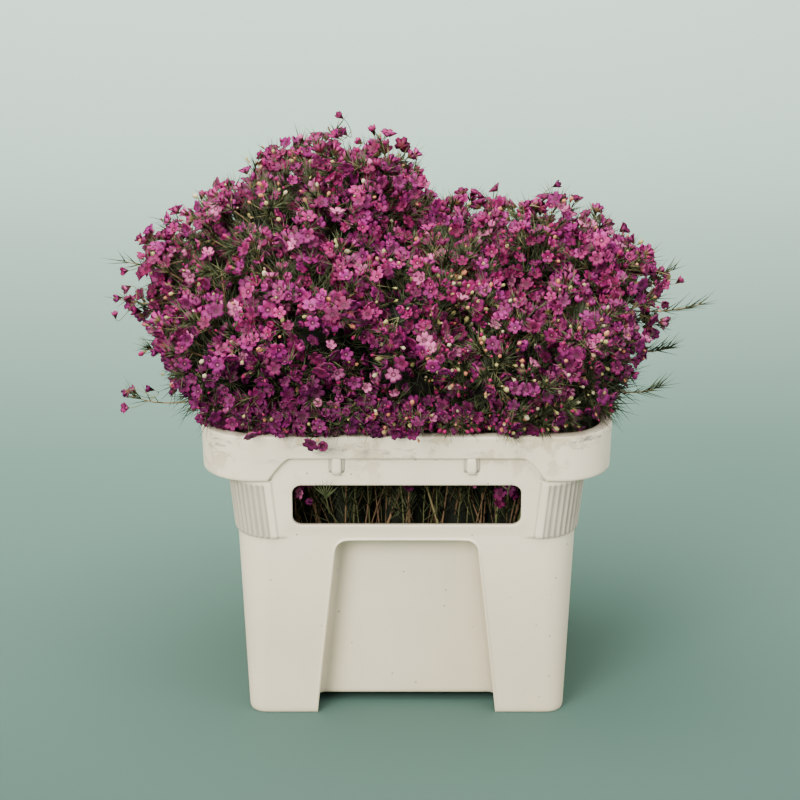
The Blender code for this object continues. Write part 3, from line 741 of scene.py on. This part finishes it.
class Pile:
    # gathers arrays of points and triangles with one value of each attribute per point
    def __init__(self, names):
        self.points, self.faces, self.uv, self.total = [], [], [], 0
        self.values = {name: [] for name in names}

    def add(self, points, faces, uv=None, **values):
        self.points.append(points)
        self.faces.append(faces + self.total)
        self.uv.append(np.zeros((len(points), 2)) if uv is None else uv)
        self.total += len(points)
        for name, stored in self.values.items():
            given = np.asarray(values.get(name, 0.0), dtype=float)
            stored.append(np.full(len(points), given) if given.ndim == 0
                else np.repeat(given, len(points) // len(given)))

    def make(self, name, material):
        values = {key: np.concatenate(stored) for key, stored in self.values.items()}
        low, high = (np.array(corner) for corner in cadBox)
        # the last tips are held inside the CAD's box and a margin round it
        room = (high - low) * 0.03 + 8 * mm
        points = np.clip(np.vstack(self.points), low - room * [1, 1, 0], high + room)
        return addMesh(name, points, np.vstack(self.faces), material, attributes=values,
            uv=np.vstack(self.uv))


def nearSpot(p, place, reach, strength):
    # strength at the spot, fading as a bell curve over its reach
    return strength * np.exp(-np.sum((p - np.array(place) * mm) ** 2, axis=1) / (reach * mm) ** 2)


def greenness(p):
    # near 1 where florets are few: the dark gap under the middle of the front, top left and the lower right
    spots = (((62, -150, 352), 44, 0.9), ((118, -165, 322), 46, 0.8), ((196, -140, 318), 46, 0.7),
             ((-172, -60, 458), 44, 0.8), ((-120, -40, 520), 40, 0.75), ((40, -70, 440), 36, 0.8),
             ((-60, -150, 330), 26, 0.5))
    return np.max([np.zeros(len(p))] + [nearSpot(p, *spot) for spot in spots], axis=0)


def budRichness(p):
    # pale young buds crowd the front right of the middle and the lower right
    spots = (((45, -120, 400), 55, 3.0), ((20, -150, 345), 40, 2.2), ((150, -150, 345), 60, 1.3))
    return sum(nearSpot(p, *spot) for spot in spots)


def rimFringe(count):
    # tips just above the rim all the way round, looking outwards, so that the mass meets the bucket
    turn = np.arange(count) / count * 2 * math.pi + random.normal(0, 0.012, count)
    c, s = np.cos(turn), np.sin(turn)
    wide, deep = bunch["fringeHalf"]
    grow = (np.abs(c / wide) ** 5 + np.abs(s / deep) ** 5) ** -0.2 * mm
    out = unit(np.column_stack((c, s * 1.3, 0.12 + 0 * c)))
    grow = grow * np.where((c > 0.1) & (s < 0), 0.93, 1.0)
    return np.column_stack((grow * c, grow * s, random.uniform(*bunch["fringeHeight"], count) * mm)), out


def past(p, x, y):
    # true for points further out than x or y millimetres
    return (np.abs(p[..., 0]) > x * mm) | (np.abs(p[..., 1]) > y * mm)


def overRim(p):
    # over the rim points stay above its lip, and beyond it they may hang a little
    lowest = np.where(past(p, 210, 160), 296 * mm, np.where(past(p, 180, 130), 310 * mm, 0))
    q = p.copy()
    q[:, 2] = np.maximum(p[:, 2], lowest)
    return q


def curve(start, middle, end, steps):
    # quadratic curve through control points, as (n, steps, 3)
    t = np.linspace(0, 1, steps)[None, :, None]
    a, b, c = (p[:, None, :] for p in (start, middle, end))
    return (1 - t) ** 2 * a + 2 * t * (1 - t) * b + t ** 2 * c


def sampleCurve(paths, which, t):
    # points and directions at share t along the chosen paths
    steps = paths.shape[1] - 1
    at = np.clip(t * steps, 0, steps - 1e-6)
    low = at.astype(int)
    part = (at - low)[:, None]
    a, b = paths[which, low], paths[which, low + 1]
    return a * (1 - part) + b * part, unit(b - a)


def addNeedles(greens, paths, each, low, high, tilt=(0.45, 1.05), size=1.0):
    # needles stand off the twigs at a slant, thickest towards the tips
    which = np.repeat(np.arange(len(paths)), each)
    n = len(which)
    roots, along = sampleCurve(paths, which, low + (high - low) * random.random(n) ** 0.75)
    aim = unit(around(along, random.uniform(*tilt, n), random.uniform(0, 2 * math.pi, n)) + [0, 0, 0.22])
    length = random.uniform(*bunch["needleLength"], n) * size
    greens.add(*needles(roots, aim, length, random.uniform(0.50, 0.82, n) * mm), wood=0.0,
        tone=random.random(n) ** 1.3)


def addFlorets(blooms, where, axis, radius, closing=None):
    # copies of the floret: a fifth of them half shut, a few pale ones, and more of them a darker purple low
    # down and on the right, which is painted shade
    n = len(where)
    if closing is None:
        closing = np.where(random.random(n) < 0.20, random.uniform(0.5, 1.0, n),
            random.uniform(-0.2, 0.4, n))
    pale = np.where(random.random(n) < 0.07, random.uniform(0.45, 1, n), random.uniform(0, 0.10, n))
    right = smoothStep(20 * mm, 160 * mm, where[:, 0])
    low = 1 - smoothStep(325 * mm, 450 * mm, where[:, 2]) * (1 - 0.25 * right)
    shapes = placeCopies(floretPoints, floretFaces, where, axis, radius, random.uniform(0, 2 * math.pi, n),
        closing)
    blooms.add(*shapes, np.tile(floretPolar, (n, 1)), tone=random.random(n), pale=pale,
        purple=np.clip(low * 0.85 + random.normal(0, 0.22, n), 0, 1), bud=0.0)


def addBuds(blooms, where, axis, radius):
    # copies of the bud, whose height goes into the UV in place of the floret's radius
    n = len(where)
    shapes = placeCopies(budPoints, budFaces, where, axis, radius[:, None] * np.array([1, 1, 1.15]),
        random.uniform(0, 6, n))
    heights = np.tile(np.stack((np.clip(budPoints[:, 2], -2, 2), np.zeros(len(budPoints))), axis=1), (n, 1))
    blooms.add(*shapes, heights, tone=random.random(n), pale=random.random(n), purple=0.0, bud=1.0)


def addClusters(blooms, greens, tips, normals, gap):
    # every twig ends in a domed spray of florets on thin stalks, with a few buds between them
    f = bunch
    florets = np.round(random.integers(*f["floretsEach"], len(tips)) * (1 - gap)).astype(int)
    which = np.repeat(np.arange(len(tips)), florets)
    n = len(which)
    if n:
        order = np.concatenate([np.arange(c) for c in florets]) + 0.5
        share = np.sqrt(order / np.maximum(florets[which], 1))
        turn = order * goldenTurn + which * 1.7 + random.normal(0, 0.25, n)
        tip, normal = tips[which], normals[which]
        a, b = frames(normal)
        spray = (a * np.cos(turn)[:, None] + b * np.sin(turn)[:, None]) * share[:, None]
        reach = f["clusterReach"] * random.uniform(0.85, 1.15, n)[:, None]
        where = tip + spray * reach - normal * (share[:, None] ** 2 * 6 * mm)
        where = overRim(where + normal * random.normal(0, 4.5 * mm, n)[:, None])
        axis = unit(normal + spray * 0.8 + random.normal(0, 0.42, (n, 3)) + [0, 0, 0.10])
        radius = random.triangular(*f["floretRadius"], n)
        addFlorets(blooms, where, axis, radius)
        foot = tip - normal * 24 * mm
        base = where - axis * radius[:, None] * 0.55
        stalks = needles(foot, unit(base - foot), np.linalg.norm(base - foot, axis=1) + 1 * mm,
            np.full(n, 0.55 * mm))
        greens.add(*stalks, wood=0.35, tone=random.random(n))
    buds = random.poisson(f["budsEach"] * (0.8 + gap + budRichness(tips)))
    which = np.repeat(np.arange(len(tips)), buds)
    n = len(which)
    if n:
        aim = unit(normals[which] + random.normal(0, 0.55, (n, 3)))
        foot = tips[which] - normals[which] * 16 * mm
        where = overRim(foot + aim * (random.uniform(17, 29, n) * mm)[:, None])
        radius = random.choice(f["budRadii"], n) * random.uniform(0.85, 1.15, n) * mm
        addBuds(blooms, where, unit(where - foot), radius)
        stalks = needles(foot, aim, np.linalg.norm(where - foot, axis=1), np.full(n, 0.5 * mm))
        greens.add(*stalks, wood=0.35, tone=random.random(n))


def coreSurface(head, inset, foot, rings=14, columns=26):
    # a lumpy dark half ball on a drum, closed at the foot: painted shade where the twigs and leaves lie too
    # deep to be told apart
    x, y, z, r = head
    r = r - inset
    half = rings // 2
    v = np.linspace(0, math.pi / 2, half)
    dome = np.stack((r * np.sin(v), z + r * np.cos(v)), axis=1)
    drum = np.stack((np.full(half, r), np.linspace(z, foot, half + 1)[1:]), axis=1)
    profile = np.vstack((dome, drum))
    profile[0, 0] = 0.5 * mm
    turn = np.arange(columns) / columns * 2 * math.pi
    levels = np.broadcast_to(profile[:, 1:], (len(profile), columns))
    points = np.stack((x + profile[:, :1] * np.cos(turn), y + profile[:, :1] * np.sin(turn), levels),
        axis=-1).reshape(-1, 3)
    a, b, c = points.T
    push = 3.5 * mm * np.sin(a * 310) * np.sin(b * 290 + 1) + 3 * mm * np.sin(c * 330 + a * 120)
    points[:, :2] += unit(points[:, :2] - [x, y]) * push[:, None]
    points = np.vstack((points, [[x, y, z + r], [x, y, foot]]))
    return points, closedGrid(len(profile), columns)


sprigs = {
    "florets": ((5, (-294, -12, 398)), (5, (-280, -30, 441)), (0, (-272, -88, 322)), (9, (146, 2, 497)),
        (7, (-70, -20, 572)), (6, (-150, -30, 520)), (10, (268, -20, 430))),
    "needles": ((10, (298, -6, 390)), (4, (254, -84, 332)), (10, (266, -30, 352)), (5, (-262, -30, 352))),
}
# sprays of needles that stand out of the front slot: stem, root, how many, lean and share of the length
slotSprigs = ((1, (-78, -145.5, 238), 9, 0.0, 1.0), (3, (98, -145.5, 246), 2, 0.6, 0.5))


def addSprigs(k, blooms, greens):
    # single shoots that stand out of the mass
    head = heads[k]
    for kind, rows in sprigs.items():
        for owner, tip in rows:
            if owner != k:
                continue
            tip = np.array([tip]) * mm
            middle = np.array([[head[0], head[1], tip[0, 2] - 10 * mm]])
            out = unit(tip - middle)
            start = middle + out * (head[3] - 40 * mm)
            path = curve(start, (start + tip) / 2 - [0, 0, 9 * mm], tip - out * 4 * mm, 9)
            greens.add(*tubes(path, np.linspace(1.0, 0.45, 9)[None] * mm, 4), wood=0.55, tone=0.7)
            if kind == "florets":
                addNeedles(greens, path, 16, 0.3, 1.0)
                n = 4
                where = tip + random.normal(0, 7 * mm, (n, 3))
                where = where - out * random.uniform(2, 24, n)[:, None] * mm
                axis = unit(np.repeat(out, n, axis=0) + random.normal(0, 0.6, (n, 3)) + [0, 0, 0.3])
                addFlorets(blooms, where, axis, random.uniform(6.2, 8.2, n) * mm,
                    random.uniform(0.2, 0.8, n))
                stalks = curve(np.repeat(tip - out * 26 * mm, n, axis=0), where - axis * 12 * mm,
                    where - axis * 4 * mm, 4)
                greens.add(*tubes(stalks, np.full((n, 4), 0.4 * mm), 3), wood=0.35, tone=random.random(n))
            else:
                addNeedles(greens, path, 26, 0.35, 1.0, (0.25, 0.7), 1.1)


def addInside(k, blooms, greens):
    # the stick, and the tangle of twigs, needles and florets that shows in the hand slots
    head = heads[k]
    levels = np.linspace(13.4 * mm, head[2], 30)
    sway = np.stack((np.sin(levels * 31 + k) * 2.2 * mm, np.cos(levels * 27 + 2 * k) * 2.2 * mm,
        levels * 0), axis=-1)
    stick = tubes((stemPath(head, levels) + sway)[None], np.linspace(3.9, 2.2, 30)[None] * mm, 8)
    greens.add(*stick, wood=1.0, tone=random.random())
    front = -1 if head[1] <= 0 else 1
    n = 20
    x = np.clip(head[0] * 0.72 + random.normal(0, 48 * mm, (2, n)), -142 * mm, 142 * mm)
    y = front * random.uniform(62 * mm, 126 * mm, (2, n))
    low = np.column_stack((x[0] * 0.8 + random.normal(0, 22 * mm, n), y[0] * 0.6,
        random.uniform(20, 90, n) * mm))
    high = np.column_stack((x[1], np.clip(y[1], -128 * mm, 128 * mm), np.full(n, 318 * mm)))
    side = curve(low, (low + high) / 2 + np.column_stack((random.normal(0, 12 * mm, (n, 2)), np.zeros(n))),
        high, 9)
    side[:, :, 1] = np.clip(side[:, :, 1], -129 * mm, 129 * mm)
    side[:, :, 0] = np.clip(side[:, :, 0], -146 * mm, 146 * mm)
    radii = (random.choice([0.5, 0.6, 0.8, 1.0, 1.5], n)[:, None] * np.linspace(1, 0.7, 9)[None]) * mm
    wood = np.where(random.random(n) < 0.6, random.uniform(0.75, 1, n), random.uniform(0.3, 0.5, n))
    greens.add(*tubes(side, radii, 4), wood=wood, tone=random.random(n))
    addNeedles(greens, side, 34, 0.52, 0.86, (0.3, 1.0), 1.3)
    for owner, root, n, lean, shorten in slotSprigs:
        if owner == k:
            root = np.array(root) * mm
            roots = root + random.normal(0, 1.0, (n, 3)) * [mm, 0, 0]
            aim = unit(np.column_stack((np.linspace(-0.9, 1.1, n) - lean, np.full(n, -0.10),
                random.uniform(0.8, 1.2, n))))
            spray = needles(roots, aim, random.uniform(17, 25, n) * shorten * mm, np.full(n, 0.85 * mm))
            greens.add(*spray, wood=0.0, tone=random.uniform(0.5, 1, n))
            shoot = curve(root[None] + [[0.002, 0.045, -0.035]], root[None] + [[0, 0.014, -0.006]],
                root[None], 6)
            greens.add(*tubes(shoot, np.full((1, 6), 0.7 * mm), 5), wood=0.4, tone=0.3)
    n = 3 if random.random() < 0.7 else 1
    x = np.clip(head[0] * 0.8 + random.normal(0, 30 * mm, n), -104 * mm, 104 * mm)
    where = np.column_stack((x, front * random.uniform(112, 126, n) * mm, random.uniform(222, 262, n) * mm))
    axis = unit(np.column_stack((random.normal(0, 0.5, n), np.full(n, front * 1.0),
        random.normal(0.3, 0.4, n))))
    addFlorets(blooms, where, axis, random.uniform(6, 8, n) * mm)


def makeStem(k, tips, normals, gap, bloomMaterial, greenMaterial):
    # the head's dark core with spikes and the dark bundle under it, both painted shade, then the twigs with
    # their florets and the stray shoots
    blooms, greens = Pile(("tone", "pale", "purple", "bud")), Pile(("wood", "tone"))
    head = heads[k]
    within = max(abs(head[0]) - 150 * mm, abs(head[1]) - 100 * mm) < 0
    points, faces = coreSurface(head, bunch["coreInset"], 300 * mm if within else 312 * mm)
    # tone -1 paints the core near black as shade
    greens.add(points, faces, wood=0.0, tone=-1.0)
    shell = np.repeat(points, 3, axis=0)
    aim = unit(shell - [head[0], head[1], head[2] - 20 * mm] + random.normal(0, 25 * mm, shell.shape))
    keep = shell[:, 2] > 315 * mm
    n = int(keep.sum())
    spikes = needles(shell[keep], aim[keep], random.uniform(20, 38, n) * mm,
        random.uniform(0.6, 0.95, n) * mm)
    greens.add(*spikes, wood=0.0, tone=random.random(n) * 0.5)
    # a dark drum inside the bucket: painted shade seen through the hand slots
    column = head.copy()
    column[:2] = stemPath(head, np.array(200 * mm))[:2]
    column[2], column[3] = 285 * mm, 31 * mm
    greens.add(*coreSurface(column, 3 * mm, 40 * mm, 8, 12), wood=0.0, tone=-1.0)
    addInside(k, blooms, greens)
    if len(tips):
        away = np.linalg.norm(tips - head[:3], axis=1)
        startZ = np.clip(tips[:, 2] - away * random.uniform(0.55, 0.95, len(tips)), 300 * mm, head[2])
        start = stemPath(head, startZ)
        end = tips - normals * 20 * mm
        twigs = curve(start, (start + end) / 2 + [0, 0, 1] * (away * 0.12)[:, None], end, 6)
        level = twigs[:, :, 2]
        twigs[:, :, 2] = np.where(past(twigs, 184, 134), np.maximum(level, 307 * mm), level)
        radii = np.linspace(1.4, 0.7, 6)[None] * random.uniform(0.8, 1.2, len(tips))[:, None] * mm
        greens.add(*tubes(twigs, radii, 3), wood=random.uniform(0.45, 1, len(tips)),
            tone=random.random(len(tips)))
        outer = (end + normals * 2 * mm, end + normals * 12 * mm, tips + normals * 1 * mm)
        shoots = np.stack((twigs[:, 3], twigs[:, 4], *outer), axis=1)
        addNeedles(greens, shoots, bunch["needlesEach"], 0.1, 1.0)
        green = np.flatnonzero(gap > 0.25)
        if len(green):
            addNeedles(greens, shoots[green], bunch["needlesEach"], 0.35, 1.0)
        addClusters(blooms, greens, tips, normals, gap)
    addSprigs(k, blooms, greens)
    for pile, name, material, slot in ((blooms, "blooms", bloomMaterial, "bloom"),
            (greens, "greens", greenMaterial, "greens")):
        piece = pile.make(f"{name}{k + 1:02d}", material)
        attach(piece, "root")
        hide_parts(f"stem_{k + 1:02d}")
    return blooms.total, greens.total


def petalMaterial():
    s = Shader("waxy petals and buds")
    uv = s.node("UVMap", {"uv_map": "polar"}, {})
    radius = s.part(uv, "X")
    lobe = s.part(uv, "Y")
    tone, pale, purple, bud = (s.attribute(name) for name in ("tone", "pale", "purple", "bud"))
    mottle = s.noise(s.coords(), 900, 2, 0.6)
    patch = s.noise(s.coords(), 34, 2, 0.6).between(0.42, 0.60)
    petal = s.mix(patch, s.mix(tone, (0.090, 0.0006, 0.024), (0.255, 0.0028, 0.082)),
        s.mix(tone, (0.074, 0.0012, 0.040), (0.215, 0.008, 0.138)))
    # painted shade: florets low in the mass and towards the right turn a darker purple, with a random spread
    # of their own
    petal = s.mix(purple * 0.8, petal, (0.066, 0.0008, 0.050))
    petal = s.mix(pale, petal, (0.60, 0.17, 0.33))
    rim = radius.between(0.60, 1.0) * (0.06 + 0.44 * tone * tone) * (1 - purple * 0.45)
    petal = s.mix(rim, petal, (0.50, 0.045, 0.275))
    # painted shade in the gaps between the petals, round the middle
    petal = s.mix((1 - lobe.between(0.1, 0.6)) * radius.between(0.36, 0.60) * 0.6, petal,
        (0.07, 0.002, 0.022))
    petal = s.mix(mottle.between(0.4, 0.75) * 0.3, petal, (0.16, 0.004, 0.05))
    eye = radius.between(0.10, 0.17) * (1 - radius.between(0.30, 0.42))
    petal = s.mix(eye * (0.92 - pale * 0.3), petal, (0.050, 0.004, 0.018))
    middle = 1 - radius.between(0.05, 0.12)
    petal = s.mix(middle * 0.8, petal,
        s.mix(tone.between(0.55, 0.75), (0.030, 0.004, 0.010), (0.45, 0.17, 0.19)))
    calyx = radius.between(1.15, 1.42)
    petal = s.mix(calyx, petal, s.mix(tone, (0.16, 0.022, 0.04), (0.17, 0.14, 0.05)))
    young = s.mix(pale.between(0.42, 0.46), (0.26, 0.008, 0.08), (0.36, 0.31, 0.12))
    young = s.mix(pale.between(0.70, 0.74), young, (0.46, 0.17, 0.09))
    young = s.mix(pale.between(0.88, 0.92), young, (0.50, 0.43, 0.27))
    young = s.mix((1 - radius.between(-1.0, -0.2)) * 0.8, young, (0.16, 0.19, 0.05))
    colour = s.mix(bud, petal, young)
    return s.finish(Base_Color=colour, Roughness=0.48 + mottle * 0.1, Normal=s.bump(mottle, 0.0003, 0.4),
        Specular_IOR_Level=0.15)


def greenMaterial():
    s = Shader("needles and twigs")
    wood, tone = s.attribute("wood"), s.attribute("tone")
    grain = s.noise(s.coords(), 260, 3, 0.6)
    leaf = s.mix(tone, (0.021, 0.027, 0.012), (0.088, 0.108, 0.040))
    # painted shade: the cores, marked by tone -1, are near black, greener inside the bucket and browner above
    # the rim
    upper = s.part(s.coords(), "Z").between(0.29, 0.33)
    deep = s.mix(grain.between(0.35, 0.7), (0.004, 0.006, 0.003),
        s.mix(upper, (0.012, 0.017, 0.007), (0.013, 0.010, 0.007)))
    leaf = s.mix(tone.between(-0.6, -0.1), deep, leaf)
    stalk = s.mix(tone, (0.13, 0.15, 0.06), (0.26, 0.22, 0.10))
    bark = s.mix(tone, (0.13, 0.070, 0.038), (0.34, 0.22, 0.12))
    bark = s.mix(grain * 0.5, bark, (0.10, 0.055, 0.03))
    colour = s.mix(wood.between(0.12, 0.25), leaf, s.mix(wood.between(0.48, 0.60), stalk, bark))
    return s.finish(Base_Color=colour, Roughness=0.55 + grain * 0.25, Normal=s.bump(grain, 0.0004, 0.5),
        Specular_IOR_Level=0.25)


def makeFlowers():
    # spaced twig ends over the whole mass, each given to the stem whose head is nearest
    tips = spaced(massPoints(9000), bunch["tipSpacing"])
    normals = surfaceNormal(tips)
    n = len(tips)
    stray = random.random(n) < 0.12
    far = random.uniform(6, 24, n) * smoothStep(330 * mm, 400 * mm, tips[:, 2])
    push = np.where(stray, far, random.uniform(-22, 5, n))
    tips = tips + normals * push[:, None] * mm
    fringe, outwards = rimFringe(bunch["fringe"])
    tips, normals = np.vstack((tips, fringe)), np.vstack((normals, outwards))
    owner = np.argmin(headDistance(tips, True), axis=1)
    gap = greenness(tips)
    petals, needlesAndTwigs = petalMaterial(), greenMaterial()
    for k in range(len(heads)):
        mine = owner == k
        counts = makeStem(k, tips[mine], normals[mine], gap[mine], petals, needlesAndTwigs)
        print("stem", k + 1, int(mine.sum()), "twigs,", *counts, "points")
    print(len(tips), "twigs in all")


# the set: a sage floor that curves up into a backdrop, painted dark near the camera and pale up the backdrop
# as painted shade and light, three soft lights and the camera

studio = {
    "near": -3.0, "far": 3.2, "halfWidth": 6.0, "bend": 1.6, "top": 4.5,
    "lights": (
        ("overhead", (-0.3, -0.3, 2.7), (0, 0, 0.3), 2.6, 172, (1.0, 0.975, 0.935)),
        ("front", (-1.5, -2.7, 1.9), (0, 0, 0.25), 1.8, 172, (1.0, 0.965, 0.91)),
        ("right", (2.6, -1.4, 1.4), (0, 0, 0.3), 1.6, 40, (0.98, 0.98, 1.0)),
    ),
    "world": (0.93, 0.91, 0.87), "worldStrength": 0.78, "pitch": 20.0, "distance": 2.6,
    "aim": (-0.0065, 0.0, 0.2854), "lens": 115.64,
    # the floor's colours from near to far, dark to pale: painted shade and painted light
    "nearColour": (0.034, 0.080, 0.064), "middleColour": (0.100, 0.190, 0.156),
    "farColour": (0.67, 0.87, 0.765),
}


def makeStage():
    # a profile of floor, quarter circle and wall, pulled out sideways
    u = np.linspace(0, math.pi / 2, 24)
    far, bend = studio["far"], studio["bend"]
    curved = np.stack((far - bend + bend * np.sin(u), bend * (1 - np.cos(u))), axis=1)
    path = np.vstack(([[studio["near"], 0]], curved, [[far, studio["top"]]]))
    points = np.array([(side * studio["halfWidth"], y, z) for y, z in path for side in (-1, 1)])
    s = Shader("pale sage paper")
    # painted shade and light: dark sage near the camera, paling through the middle to the far backdrop
    back = s.part(s.coords(), "Y")
    distant = s.mix(back.between(0.4, 3.0), studio["middleColour"], studio["farColour"])
    tint = s.mix(back.between(-0.5, 0.9), studio["nearColour"], distant)
    sweep = addMesh("sweep", points, gridFaces(len(path), 2, False)[:, ::-1],
        s.finish(Base_Color=tint, Roughness=0.8))
    for name, place, aim, size, power, colour in studio["lights"]:
        lamp = bpy.data.lights.new(name, "AREA")
        lamp.shape, lamp.size, lamp.energy, lamp.color = "DISK", size, power, colour
        holder = bpy.data.objects.new(name, lamp)
        bpy.context.scene.collection.objects.link(holder)
        holder.location = place
        holder.rotation_euler = (Vector(aim) - Vector(place)).to_track_quat("-Z", "Y").to_euler()
    world = bpy.data.worlds.new("soft room")
    world.use_nodes = True
    glow = world.node_tree.nodes["Background"].inputs
    glow["Color"].default_value, glow["Strength"].default_value = (*studio["world"],
        1), studio["worldStrength"]
    bpy.context.scene.world = world
    lens = bpy.data.cameras.new("photo")
    lens.lens, lens.sensor_width = studio["lens"], 36.0
    viewer = bpy.data.objects.new("photo", lens)
    bpy.context.scene.collection.objects.link(viewer)
    pitch = math.radians(studio["pitch"])
    viewer.location = Vector(studio["aim"]) + studio["distance"] * Vector((0, -math.cos(pitch),
        math.sin(pitch)))
    viewer.rotation_euler = (math.radians(90) - pitch, 0, 0)
    bpy.context.scene.camera = viewer


plastic = bucketPlastic()
shell, skinX, skinY, skinZ, frontCount = makeBucket(plastic)
for piece in (shell, makeFloor(skinX, skinY, skinZ, frontCount, plastic), makeLugs(plastic)):
    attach(piece, "root")
    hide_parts("bucket")
print("bucket made")
makeFlowers()
print("flowers made")

makeStage()
print("set made")
